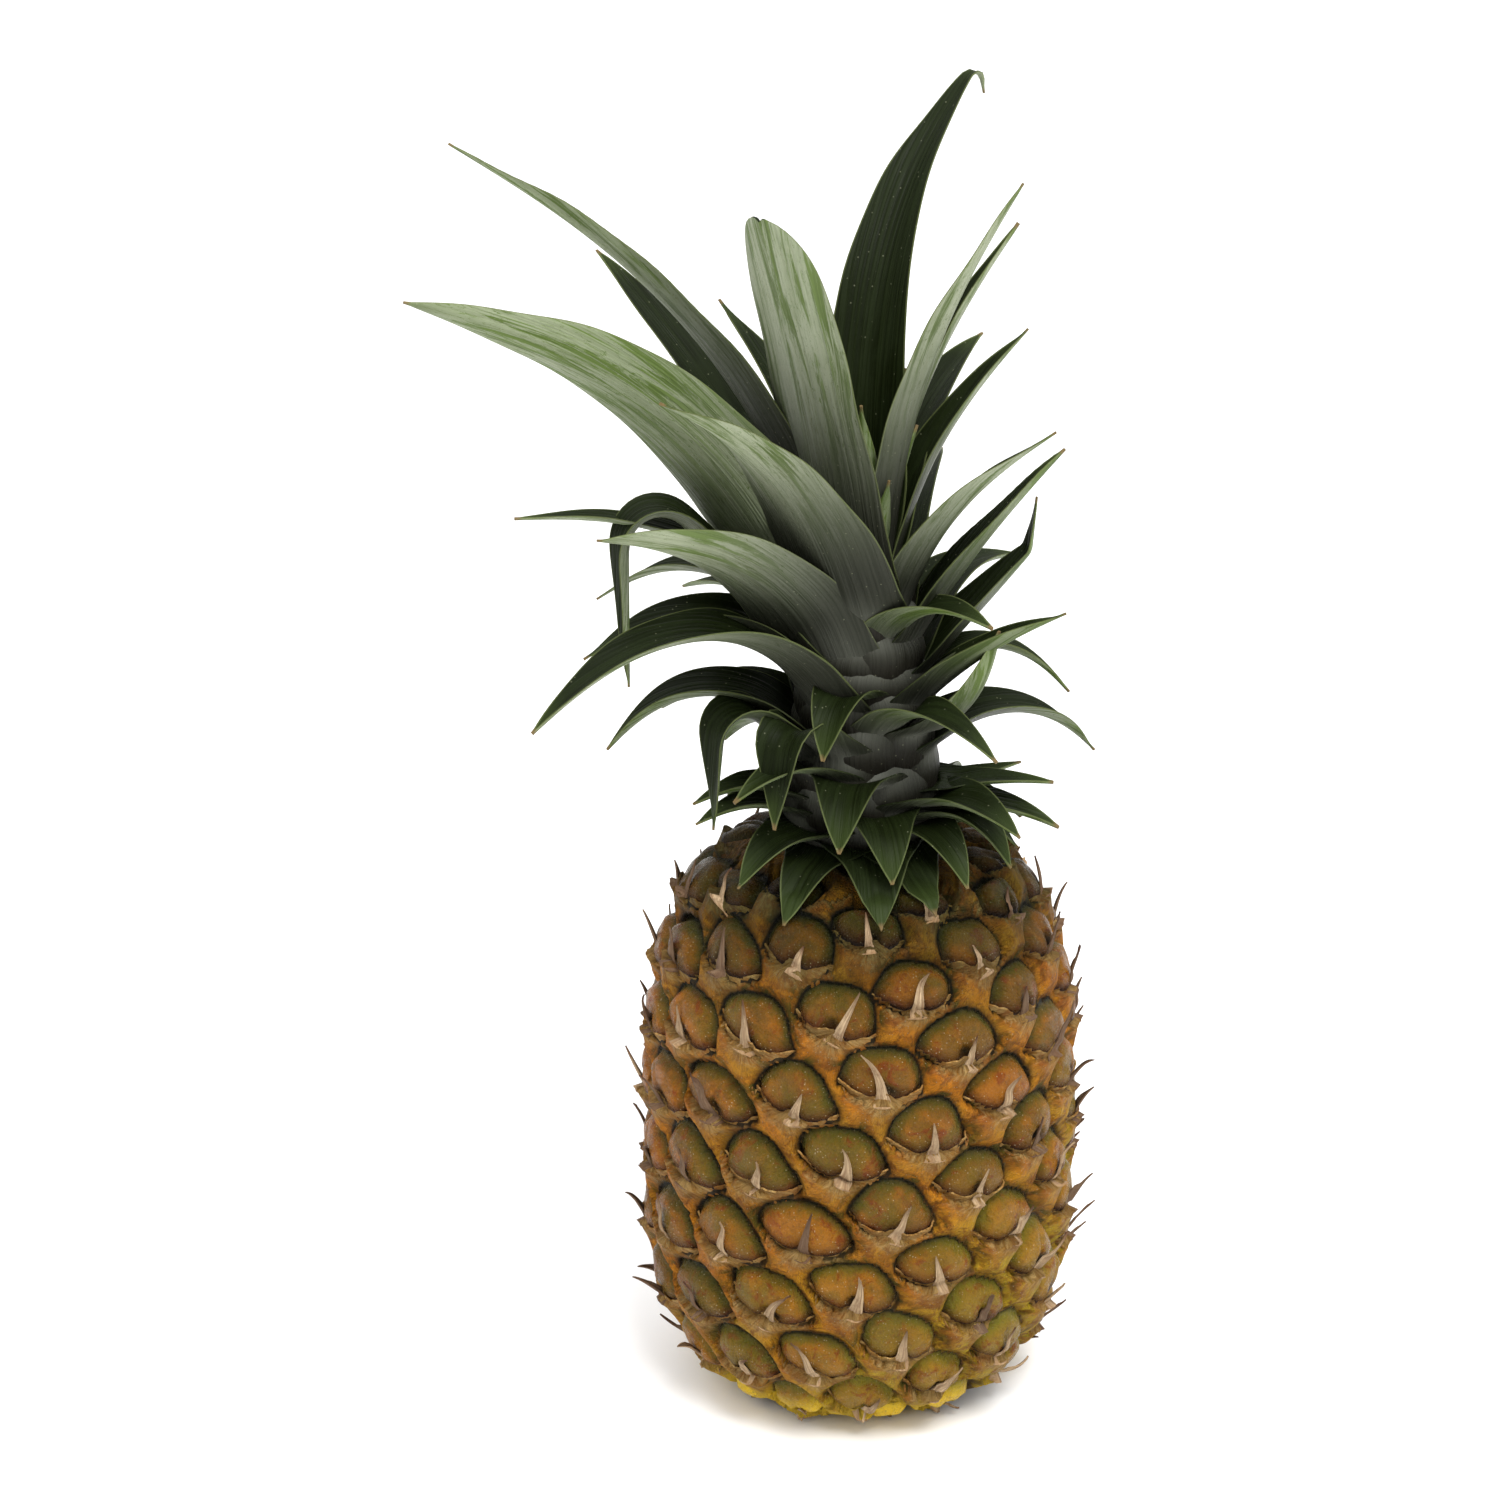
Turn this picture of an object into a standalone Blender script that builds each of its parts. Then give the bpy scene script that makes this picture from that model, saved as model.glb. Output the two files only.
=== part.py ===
# A whole pineapple standing on its cut base: the fruit with its raised eyes and dry
# spines, the leafy crown that grows from its top, and the stub of the stalk that it
# was cut from. Metres, +Z up, origin in the middle of the flat spot under the fruit.
# Azimuth 0 is the front, -Y, and azimuths grow towards +X. Sizes below are in
# millimetres and degrees, and become metres when a mesh is made.

import math
import random

import bmesh
import bpy
import numpy as np

MM = 0.001
TOUCH_GAP = 0.3
DRUM_SIDES = 24
FLAT_ANGLE = 1.5

# Fruit body
FRUIT_HEIGHT = 150.0
BELLY_RADIUS = 57.4
BELLY_HEIGHT = 74.0
LOWER_REACH = 81.0
LOWER_POWER = 3.6
UPPER_REACH = 90.5
UPPER_POWER = 3.3
PROFILE_POWER = 1 / 2.2
FOOT_ROUNDING = 8.0
FOOT_ROUNDING_HEIGHT = 6.0
TOP_RISE = 4.0

# Eyes, the hexagonal fruitlets, which follow one spiral from the foot to the top
EYE_TURN = 137.57
FIRST_AZIMUTH = -5.0
FIRST_PLACE = 98.5
EYE_RISE = 1.11
END_CROWDING = -0.3
LEAN_FORE = -7.0
LEAN_SIDE = -7.8
CROWD_FORE = 0.146
CROWD_SIDE = 0.08
EYE_RANKS = range(-85, 86)
LOWEST_EYE = 1.0
HIGHEST_EYE = 172.0

# Relief of an eye: a domed face above a fleshy bract, with a groove all round
GROOVE_DEPTH = 3.2
FACE_EDGE = 5.0
BRACT_EDGE = 8.0
BRACT_LIFT = 1.5
CREVICE_DEPTH = 1.4
MARGIN_BLEND = 3.0
WING_REACH = 11.0
LIFT_PLACE = -1.2
LIFT_HEIGHT = 2.4
CREVICE_PLACE = 2.4
CREVICE_HEIGHT = 1.5
PLAIN_END = 3.0
FOOT_FADE = 6.0
TOP_FADE = 8.0
NEAREST_EYES = 5
SKIN_COLUMNS = 190
SKIN_ROWS = 130
SKIN_SHARE_KEPT = 0.088

# Spines of the bracts
SPINE_LENGTH = 12.0
SPINE_WIDTH = 4.6
SPINE_SINK = 3.0
SPINE_LIFT = 24.0
SPINE_SWAY = 0.25
SPINE_THICKNESS = 1.9
SPINE_ROOT = (-0.25, 1.0, 1.0)
SPINE_MIDDLE = (0.35, 0.62, 0.7)
SPINE_BASE_LIFT = 1.2
SPINE_TIP_LIFT = 2.6
LOWEST_SPINE = 15.0
HIGHEST_SPINE = 143.0

# Stub of the stalk
STUB_RADIUS = 13.0
STUB_DEPTH = 12.0

# Crown
STEM_RADIUS = 16.0
STEM_TAPER = 0.12
STEM_HEIGHT = 76.0
HEART_RADIUS = 22.0
SOCKET_DEPTH = 3.0
ROOT_SINK = 4.0
BLADE_THICKNESS = 1.3
TIP_WIDTH = 1.6
LEAF_STEP = 21.0
SHORT_LEAF = 70.0
SHORT_FULLNESS = 1.25
LONG_FULLNESS = 1.6
LONG_FOOT = 0.84
FOOT_REACH = 0.3
TAPER_POWER = 0.9
BLUNT_TAPER = 0.28
BLUNT_END = 0.02
BLUNT_CURVE = 2.6
BLUNT_POWER = 0.45
CUP = 0.22
ROOT_CUP = 0.8
ROOT_CUP_REACH = 0.25
EDGE_FOLD = 1.2
ROLL_REACH = 0.35
HOOK_REACH = 0.05
STEPS_BETWEEN_ROWS = 8
SKIN_CLEARANCE = 2.6
CLEAR_CENTRE = (12.0, 118.0)
LEAF_TURN = 137.5
RULED_LEAVES = 66
FIRST_LEAF_AZIMUTH = 40
LOWEST_ROOT = 3
ROOT_SPAN = 66
ROOT_CROWDING = 1.3
FAR_SIDE = (134, 244)
FAR_LENGTH = (38, 72)
FAR_WIDTH = (24, 28)
FAR_RISE = (35, 50)
FAR_END_RISE = (-50, 70)
FAR_FULLNESS = 1.8
FAR_VARIATION = 0.15
FAR_WAVER = 5
YOUNG_SHARE = 0.75
YOUNG_SHORTENING = 0.3
HEART_LEAVES = 7
HEART_AZIMUTH = 26
HEART_ROOT = 56
HEART_LENGTH = 50
HEART_STEP = 2
HEART_WIDTH = 20
HEART_RISE = (88, 74)
HEART_CUP = 0.3

# The stem's swollen heart over the fruit: shares of its radius and of its height
HEART_RINGS = [(1.0, 0.12), (0.95, 0.5), (0.7, 0.8), (0.3, 1.0)]

# The leaves that show from the front. Each row is azimuth and height of the root on the
# stem, length, width, rise at the root and at the tip, then what a leaf has of its own.
FRONT_LEAVES = [
    (180, 62, 159, 26, 90, 42, dict(bend=(0.1, 1), drift=-50, fullness=2.2, tip=(0.93, -75))),
    (262, 58, 168, 26, 73, 30, dict(fullness=2.0, roll=-25)),
    (285, 50, 160, 34, 64, 18, dict(bend=(0.1, 1), cup=0.15, fullness=2.2, roll=-55)),
    (238, 60, 120, 36, 57, 43, dict(fullness=2.0)),
    (229, 62, 93, 24, 78, 43, {}),
    (312, 54, 125, 38, 80, 71, dict(cup=0.12, blunt=0.74)),
    (330, 48, 127, 38, 70, 28, dict(drift=-10, cup=0.15, fullness=2.0)),
    (318, 40, 104, 30, 66, 11, dict(drift=-20, cup=0.15, fullness=2.0, roll=-40)),
    (277, 42, 106, 22, 65, 0, {}),
    (282, 42, 122, 24, 52, -90, dict(bend=(0.5, 0.72), fullness=2.4)),
    (261, 36, 92, 24, 75, -35, dict(drift=-25)),
    (251, 34, 60, 20, 75, -35, dict(drift=-20)),
    (277, 30, 86, 28, 75, -30, dict(fullness=2.0)),
    (310, 26, 114, 30, 70, -40, dict(drift=-22, fullness=2.0)),
    (274, 20, 74, 28, 65, -48, dict(drift=-10, fullness=2.0)),
    (295, 24, 66, 28, 40, -85, dict(bend=(0.4, 0.65))),
    (322, 24, 54, 28, 45, -80, dict(bend=(0.4, 0.65))),
    (285, 12, 38, 22, 40, -20, {}),
    (290, 8, 38, 24, 40, -20, {}),
    (325, 15, 46, 24, 60, -25, dict(drift=-20)),
    (318, 6, 40, 26, 30, -35, {}),
    (335, 3, 38, 26, 25, -50, dict(drift=-5)),
    (5, 3, 38, 30, 30, -60, {}),
    (10, 9, 36, 30, 50, -60, {}),
    (24, 3, 34, 26, 25, -55, {}),
    (38, 6, 38, 26, 45, -55, {}),
    (58, 5, 42, 28, 55, -55, {}),
    (350, 17, 38, 30, 55, -65, {}),
    (345, 32, 42, 28, 70, -65, dict(bend=(0.2, 0.9), drift=-10)),
    (52, 11, 43, 30, 40, -25, {}),
    (76, 12, 43, 26, 20, -20, {}),
    (80, 16, 41, 22, 20, 0, {}),
    (104, 16, 34, 18, 5, 15, {}),
    (86, 4, 34, 28, 40, -45, {}),
    (106, 7, 38, 28, 40, -45, {}),
    (25, 20, 62, 28, 80, -30, dict(drift=25)),
    (92, 23, 65, 28, 45, -45, dict(drift=30)),
    (100, 39, 59, 18, 55, -49, {}),
    (67, 32, 48, 28, 20, 80, dict(cup=0.3)),
    (68, 34, 61, 26, 50, 30, dict(cup=0.3)),
    (99, 42, 68, 26, 45, 50, dict(cup=0.25, tip=(0.76, 85))),
    (85, 46, 79, 26, 62, 50, dict(cup=0.25)),
    (65, 48, 88, 28, 78, 38, {}),
    (110, 54, 95, 22, 85, 45, dict(cup=0.3)),
    (68, 56, 132, 24, 86, 60, dict(bend=(0.1, 1), cup=0.25)),
    (108, 60, 114, 20, 88, 56, dict(drift=-10, cup=0.3)),
    (40, 42, 57, 32, 80, -12, dict(bend=(0.1, 1), drift=10, cup=0.25)),
]


def clear_scene():
    for found in list(bpy.data.objects):
        bpy.data.objects.remove(found, do_unlink=True)


def smooth_step(share):
    share = np.clip(share, 0.0, 1.0)
    return share * share * (3 - 2 * share)


def make_object(name, vertices, faces, collection=None):
    """One mesh object from millimetre points."""
    mesh = bpy.data.meshes.new(name)
    mesh.from_pydata((np.asarray(vertices) * MM).tolist(), [], [list(map(int, f)) for f in faces])
    mesh.update()
    made = bpy.data.objects.new(name, mesh)
    (collection or bpy.context.scene.collection).objects.link(made)
    return made


def apply_modifier(target, modifier):
    bpy.context.view_layer.objects.active = target
    bpy.ops.object.modifier_apply(modifier=modifier.name)


def keep_outer_shell(target):
    """Fills the pockets that fused leaves close off, by dropping all but the largest shell."""
    shape = bmesh.new()
    shape.from_mesh(target.data)
    unseen = set(shape.faces)
    shells = []
    while unseen:
        shell = [unseen.pop()]
        for face in shell:
            for edge in face.edges:
                for other in edge.link_faces:
                    if other in unseen:
                        unseen.discard(other)
                        shell.append(other)
        shells.append(shell)
    shells.sort(key=len)
    for shell in shells[:-1]:
        bmesh.ops.delete(shape, geom=shell, context="FACES")
    shape.to_mesh(target.data)
    shape.free()


def fuse(target, repeats):
    """Joins a collection's objects into the target as one solid, and removes them."""
    joined = target.modifiers.new("joined", "BOOLEAN")
    joined.operation = "UNION"
    joined.operand_type = "COLLECTION"
    joined.collection = repeats
    joined.solver = "MANIFOLD"
    apply_modifier(target, joined)
    flatter = target.modifiers.new("flatter", "DECIMATE")
    flatter.decimate_type = "DISSOLVE"
    flatter.angle_limit = math.radians(FLAT_ANGLE)
    apply_modifier(target, flatter)
    split = target.modifiers.new("split", "TRIANGULATE")
    apply_modifier(target, split)
    for used in list(repeats.objects):
        bpy.data.objects.remove(used, do_unlink=True)
    bpy.data.collections.remove(repeats)
    keep_outer_shell(target)


def give_material(target, name, colour, roughness):
    material = bpy.data.materials.new(name)
    material.use_nodes = True
    shader = material.node_tree.nodes["Principled BSDF"]
    shader.inputs["Base Color"].default_value = (*colour, 1.0)
    shader.inputs["Roughness"].default_value = roughness
    shader.inputs["Metallic"].default_value = 0.0
    material.diffuse_color = (*colour, 1.0)
    target.data.materials.clear()
    target.data.materials.append(material)


def body_radius(height):
    """The fruit's radius at a height: one rounded barrel curve below the belly, one above."""
    below = np.clip((BELLY_HEIGHT - height) / LOWER_REACH, 0, 1) ** LOWER_POWER
    above = np.clip((height - BELLY_HEIGHT) / UPPER_REACH, 0, 1) ** UPPER_POWER
    radius = BELLY_RADIUS * (1 - np.maximum(below, above)) ** PROFILE_POWER
    foot = np.clip(1 - height / FOOT_ROUNDING_HEIGHT, 0, 1) ** 2
    return radius - FOOT_ROUNDING * foot


def skin_profile():
    """Radius, height and length along the skin, from the flat spot's edge to the crown."""
    heights = np.linspace(0, FRUIT_HEIGHT, 300)
    side = np.c_[body_radius(heights), heights]
    share = np.linspace(0, 1, 40)[1:]
    socket = STEM_RADIUS + TOUCH_GAP
    top = np.c_[
        side[-1, 0] + (socket - side[-1, 0]) * share,
        FRUIT_HEIGHT + TOP_RISE * np.sin(share * math.pi / 2),
    ]
    points = np.concatenate([side, top])
    along = np.r_[0, np.cumsum(np.hypot(*np.diff(points, axis=0).T))]
    return points[:, 0], points[:, 1], along


PROFILE_RADIUS, PROFILE_HEIGHT, PROFILE_ALONG = skin_profile()


def eye_places():
    """Azimuth in radians and place along the skin of every eye, up the one spiral."""
    place = {0: FIRST_PLACE}
    for way in (1, -1):
        here = FIRST_PLACE
        for rank in range(way, way * (len(EYE_RANKS) // 2 + 1), way):
            radius = np.interp(here, PROFILE_ALONG, PROFILE_RADIUS)
            here += way * EYE_RISE * (radius / BELLY_RADIUS) ** END_CROWDING
            place[rank] = here
    found = []
    for rank in EYE_RANKS:
        turn = math.radians(FIRST_AZIMUTH + EYE_TURN * rank)
        along = place[rank] + LEAN_FORE * (math.cos(turn) - 1) + LEAN_SIDE * math.sin(turn)
        turn += CROWD_FORE * math.sin(turn) + CROWD_SIDE * (math.cos(turn) - 1)
        if LOWEST_EYE < along < HIGHEST_EYE:
            found.append((turn, along))
    return np.array(found)


def skin_relief(azimuth, along, eyes):
    """How far the skin stands out of the plain barrel at each point, in millimetres."""
    radius = np.interp(along, PROFILE_ALONG, PROFILE_RADIUS)
    turn = (azimuth[:, None] - eyes[None, :, 0] + math.pi) % (2 * math.pi) - math.pi
    across = radius[:, None] * turn
    up = along[:, None] - eyes[None, :, 1]
    distance = np.hypot(across, up)
    near = np.argsort(distance, axis=1)[:, :NEAREST_EYES]
    rows = np.arange(len(along))
    own = near[:, 0]
    edge = np.full(len(along), np.inf)
    for k in range(1, NEAREST_EYES):
        other = near[:, k]
        apart = np.hypot(
            across[rows, own] - across[rows, other], up[rows, own] - up[rows, other]
        )
        gap = (distance[rows, other] ** 2 - distance[rows, own] ** 2) / (2 * apart)
        edge = np.minimum(edge, gap)
    x, y = across[rows, own], up[rows, own]
    on_bract = smooth_step(0.5 - y / MARGIN_BLEND)
    width = FACE_EDGE + (BRACT_EDGE - FACE_EDGE) * on_bract
    relief = -GROOVE_DEPTH * (1 - smooth_step(edge / width)) ** 1.2
    wing = np.clip(1 - (x / WING_REACH) ** 2, 0, 1)
    relief += BRACT_LIFT * wing * np.exp(-(((y - LIFT_PLACE) / LIFT_HEIGHT) ** 2))
    relief -= CREVICE_DEPTH * wing * np.exp(-(((y - CREVICE_PLACE) / CREVICE_HEIGHT) ** 2))
    above_foot = smooth_step((along - PLAIN_END) / FOOT_FADE)
    below_top = smooth_step((PROFILE_ALONG[-1] - PLAIN_END - along) / TOP_FADE)
    return relief * above_foot * below_top


def skin_point(azimuth, along, lift):
    """The point over the skin at a place, lifted along the skin's normal."""
    radius = np.interp(along, PROFILE_ALONG, PROFILE_RADIUS)
    height = np.interp(along, PROFILE_ALONG, PROFILE_HEIGHT)
    step = 0.5
    slope_out = np.interp(along + step, PROFILE_ALONG, PROFILE_RADIUS)
    slope_out = slope_out - np.interp(along - step, PROFILE_ALONG, PROFILE_RADIUS)
    slope_up = np.interp(along + step, PROFILE_ALONG, PROFILE_HEIGHT)
    slope_up = slope_up - np.interp(along - step, PROFILE_ALONG, PROFILE_HEIGHT)
    length = np.hypot(slope_out, slope_up)
    out = radius + lift * slope_up / length
    z = height - lift * slope_out / length
    return np.stack([out * np.sin(azimuth), -out * np.cos(azimuth), z], axis=-1)


def add_drum(name, radius, low, high, sides):
    """An upright round solid between two heights."""
    turns = [2 * math.pi * k / sides for k in range(sides)]
    points = [
        (radius * math.sin(t), -radius * math.cos(t), z) for z in (low, high) for t in turns
    ]
    faces = [tuple(reversed(range(sides))), tuple(range(sides, 2 * sides))]
    for k in range(sides):
        after = (k + 1) % sides
        faces.append((k, after, sides + after, sides + k))
    return make_object(name, points, faces)


def cut_round(target, radius, low, high):
    """Cuts a round recess between two heights."""
    drum = add_drum("recess", radius, low, high, DRUM_SIDES)
    cut = target.modifiers.new("cut", "BOOLEAN")
    cut.operation = "DIFFERENCE"
    cut.object = drum
    cut.solver = "MANIFOLD"
    apply_modifier(target, cut)
    bpy.data.objects.remove(drum, do_unlink=True)


def build_skin(eyes):
    """The fruit's solid body: rings from the flat spot up to the socket of the crown."""
    last = PROFILE_ALONG[-1]
    places = np.linspace(0, last, SKIN_ROWS)
    turns = np.arange(SKIN_COLUMNS) * 2 * math.pi / SKIN_COLUMNS
    grid_turn, grid_along = np.meshgrid(turns, places)
    lift = skin_relief(grid_turn.ravel(), grid_along.ravel(), eyes)
    points = list(skin_point(grid_turn.ravel(), grid_along.ravel(), lift))
    rings = [np.arange(SKIN_COLUMNS) + SKIN_COLUMNS * k for k in range(SKIN_ROWS)]
    top = PROFILE_HEIGHT[-1]
    faces = []
    for low, high in zip(rings[:-1], rings[1:]):
        for k in range(SKIN_COLUMNS):
            after = (k + 1) % SKIN_COLUMNS
            faces.append((low[k], low[after], high[after]))
            faces.append((low[k], high[after], high[k]))
    for ring, height, upward in ((rings[0], 0.0, False), (rings[-1], top, True)):
        centre = len(points)
        points.append((0.0, 0.0, height))
        for k in range(SKIN_COLUMNS):
            after = (k + 1) % SKIN_COLUMNS
            pair = (ring[k], ring[after]) if upward else (ring[after], ring[k])
            faces.append((*pair, centre))
    fruit = make_object("fruit", points, faces)
    fewer = fruit.modifiers.new("fewer", "DECIMATE")
    fewer.ratio = SKIN_SHARE_KEPT
    apply_modifier(fruit, fewer)
    cut_round(fruit, STEM_RADIUS + TOUCH_GAP, top - SOCKET_DEPTH, top + 1)
    cut_round(fruit, STUB_RADIUS + TOUCH_GAP, -1.0, STUB_DEPTH + TOUCH_GAP)
    return fruit


def add_spine(eye, draw, collection):
    """A dry three-sided spine rising from the middle of a bract's upper margin."""
    turn, along = eye
    length = SPINE_LENGTH * draw.uniform(0.75, 1.15)
    lift = math.radians(SPINE_LIFT * draw.uniform(0.6, 1.5))
    sway = draw.uniform(-SPINE_SWAY, SPINE_SWAY)
    radius = float(np.interp(along, PROFILE_ALONG, PROFILE_RADIUS))
    stations = []
    for share, width, thick in (SPINE_ROOT, SPINE_MIDDLE):
        rise = length * share * math.cos(lift)
        out = -SPINE_SINK if share < 0 else length * share * math.sin(lift) + SPINE_BASE_LIFT
        side = sway * length * max(share, 0) ** 2
        half = SPINE_WIDTH * width / 2
        corners = [(-half, 0.0), (half, 0.0), (0.0, SPINE_THICKNESS * thick)]
        stations.append(
            [
                skin_point(turn + (side + across) / radius, along + rise, out + over)
                for across, over in corners
            ]
        )
    end = skin_point(
        turn + sway * length / radius,
        along + length * math.cos(lift),
        length * math.sin(lift) + SPINE_TIP_LIFT,
    )
    points = stations[0] + stations[1] + [end]
    faces = [(0, 1, 2)]
    for k in range(3):
        after = (k + 1) % 3
        faces.append((k, 3 + after, after))
        faces.append((k, 3 + k, 3 + after))
        faces.append((3 + k, 6, 3 + after))
    return make_object("spine", points, faces, collection)


def build_fruit(eyes):
    fruit = build_skin(eyes)
    spines = bpy.data.collections.new("spines")
    draw = random.Random(11)
    for eye in eyes:
        if LOWEST_SPINE < eye[1] < HIGHEST_SPINE:
            add_spine(eye, draw, spines)
    fuse(fruit, spines)
    give_material(fruit, "fruit_skin", (0.42, 0.27, 0.07), 0.5)
    return fruit


def build_stub():
    """The cut stalk, flush with the flat spot and set in its pocket."""
    stub = add_drum("stem_stub", STUB_RADIUS, 0.0, STUB_DEPTH, DRUM_SIDES)
    give_material(stub, "cut_stalk", (0.55, 0.42, 0.24), 0.8)
    return stub


def ruled_leaves():
    """The leaves of the far side and the young ones of the heart, by the same spiral."""
    draw = random.Random(5)
    found = []
    for k in range(RULED_LEAVES):
        share = (k / (RULED_LEAVES - 1)) ** ROOT_CROWDING
        azimuth = (FIRST_LEAF_AZIMUTH + LEAF_TURN * k) % 360
        if FAR_SIDE[0] <= azimuth <= FAR_SIDE[1]:
            varied = 1 + draw.uniform(-FAR_VARIATION, FAR_VARIATION)
            length = FAR_LENGTH[0] + FAR_LENGTH[1] * share**0.9 * varied
            young = max(0.0, share - YOUNG_SHARE) / (1 - YOUNG_SHARE)
            length *= 1 - YOUNG_SHORTENING * young
            end = FAR_END_RISE[0] + FAR_END_RISE[1] * share
            end += draw.uniform(-FAR_WAVER, FAR_WAVER)
            own = dict(drift=draw.uniform(-FAR_WAVER, FAR_WAVER), fullness=FAR_FULLNESS)
            height = LOWEST_ROOT + ROOT_SPAN * share
            rise = FAR_RISE[0] + FAR_RISE[1] * share
            found.append((azimuth, height, length, draw.uniform(*FAR_WIDTH), rise, end, own))
    for k in range(HEART_LEAVES):
        azimuth = HEART_AZIMUTH + LEAF_TURN * k
        height, length = HEART_ROOT + HEART_STEP * k, HEART_LENGTH + HEART_STEP * k
        found.append((azimuth, height, length, HEART_WIDTH, *HEART_RISE, dict(cup=HEART_CUP)))
    return found


def push_clear(point, gap):
    """Moves a leaf's point out of the fruit's top, away from a centre inside the fruit."""
    centre_out, centre_up = CLEAR_CENTRE
    out = math.hypot(point[0], point[1])
    if out < STEM_RADIUS:
        return np.array([point[0], point[1], max(point[2], PROFILE_HEIGHT[-1] + gap)])
    angle = math.atan2(point[2] - centre_up, out - centre_out)
    angles = np.arctan2(PROFILE_HEIGHT - centre_up, PROFILE_RADIUS - centre_out)
    reaches = np.hypot(PROFILE_HEIGHT - centre_up, PROFILE_RADIUS - centre_out)
    needed = float(np.interp(angle, angles, reaches)) + gap
    reach = math.hypot(point[2] - centre_up, out - centre_out)
    if reach >= needed:
        return point
    new_out = centre_out + needed * math.cos(angle)
    new_up = centre_up + needed * math.sin(angle)
    return np.array([point[0] * new_out / out, point[1] * new_out / out, new_up])


def blade_rows(row):
    """The middle surface of a leaf: rows of three points from its root to its tip."""
    azimuth, height, length, width, rise, end_rise, own = row
    bend = own.get("bend", (0.0, 1.0))
    drift = own.get("drift", 0.0)
    cup = own.get("cup", CUP)
    short = length < SHORT_LEAF
    fullness = own.get("fullness", SHORT_FULLNESS if short else LONG_FULLNESS)
    foot = 1.0 if short else LONG_FOOT
    roll = own.get("roll", 0.0)
    blunt = own.get("blunt")
    tip_from, tip_rise = own.get("tip", (2.0, 0.0))
    steps = max(3, round(length / LEAF_STEP)) + (2 if bend[1] - bend[0] < 0.5 else 0)
    if tip_from < 1:
        steps += 3
    fine = STEPS_BETWEEN_ROWS
    root = math.radians(azimuth)
    start = STEM_RADIUS - STEM_TAPER * height - ROOT_SINK
    here = np.array(
        [start * math.sin(root), -start * math.cos(root), FRUIT_HEIGHT + height]
    )
    rows = []
    for k in range(steps * fine + 1):
        share = k / (steps * fine)
        bent = float(smooth_step((share - bend[0]) / (bend[1] - bend[0])))
        lift = rise + (end_rise - rise) * bent
        lift += (tip_rise - lift) * float(smooth_step((share - tip_from) / HOOK_REACH))
        lift = math.radians(lift)
        turn = math.radians(azimuth + drift * share)
        out = np.array([math.sin(turn), -math.cos(turn), 0.0])
        up = np.array([0.0, 0.0, 1.0])
        ahead = math.cos(lift) * out + math.sin(lift) * up
        normal = math.cos(lift) * up - math.sin(lift) * out
        across = np.cross(ahead, normal)
        rolled = math.radians(roll) * float(smooth_step(share / ROLL_REACH))
        side = across * math.cos(rolled) + normal * math.sin(rolled)
        over = normal * math.cos(rolled) - across * math.sin(rolled)
        if k % fine == 0:
            if blunt is None:
                taper = (1 - share**fullness) ** TAPER_POWER
            else:
                past = max(0.0, share - blunt) / (1 - blunt)
                taper = max(BLUNT_END, 1 - past**BLUNT_CURVE) ** BLUNT_POWER
                taper *= 1 - BLUNT_TAPER * share
            spread = width * taper * (foot + (1 - foot) * float(smooth_step(share / FOOT_REACH)))
            spread = max(spread, TIP_WIDTH)
            near_root = 1 - float(smooth_step(share / ROOT_CUP_REACH))
            trough = cup * (1 + ROOT_CUP * near_root)
            half = spread / 2 * math.cos(EDGE_FOLD * trough)
            edge = spread * trough
            three = (here - side * half + over * edge, here, here + side * half + over * edge)
            rows.append([push_clear(point, SKIN_CLEARANCE) for point in three])
        here = here + ahead * length / (steps * fine)
    return np.array(rows)


def add_leaf(row, collection):
    """A closed blade: the middle surface thickened, both faces split the same way."""
    middle = blade_rows(row)
    count = len(middle)
    along = np.gradient(middle, axis=0)
    across = np.gradient(middle, axis=1)
    normal = np.cross(across, along)
    normal /= np.linalg.norm(normal, axis=2, keepdims=True)
    upper = middle + normal * BLADE_THICKNESS / 2
    lower = middle - normal * BLADE_THICKNESS / 2
    points = np.concatenate([upper.reshape(-1, 3), lower.reshape(-1, 3)])
    under = count * 3
    faces = []
    for i in range(count - 1):
        for j in range(2):
            a = i * 3 + j
            b, c, d = a + 1, a + 4, a + 3
            faces += [(a, b, c), (a, c, d)]
            faces += [(under + a, under + c, under + b), (under + a, under + d, under + c)]
        left, right = i * 3, i * 3 + 2
        faces += [(left, left + 3, under + left + 3), (left, under + left + 3, under + left)]
        faces += [(right, under + right, under + right + 3), (right, under + right + 3, right + 3)]
    for j in range(2):
        a = j
        faces += [(a, under + a, under + a + 1), (a, under + a + 1, a + 1)]
        b = (count - 1) * 3 + j
        faces += [(b, b + 1, under + b + 1), (b, under + b + 1, under + b)]
    return make_object("leaf", points, faces, collection)


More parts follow.
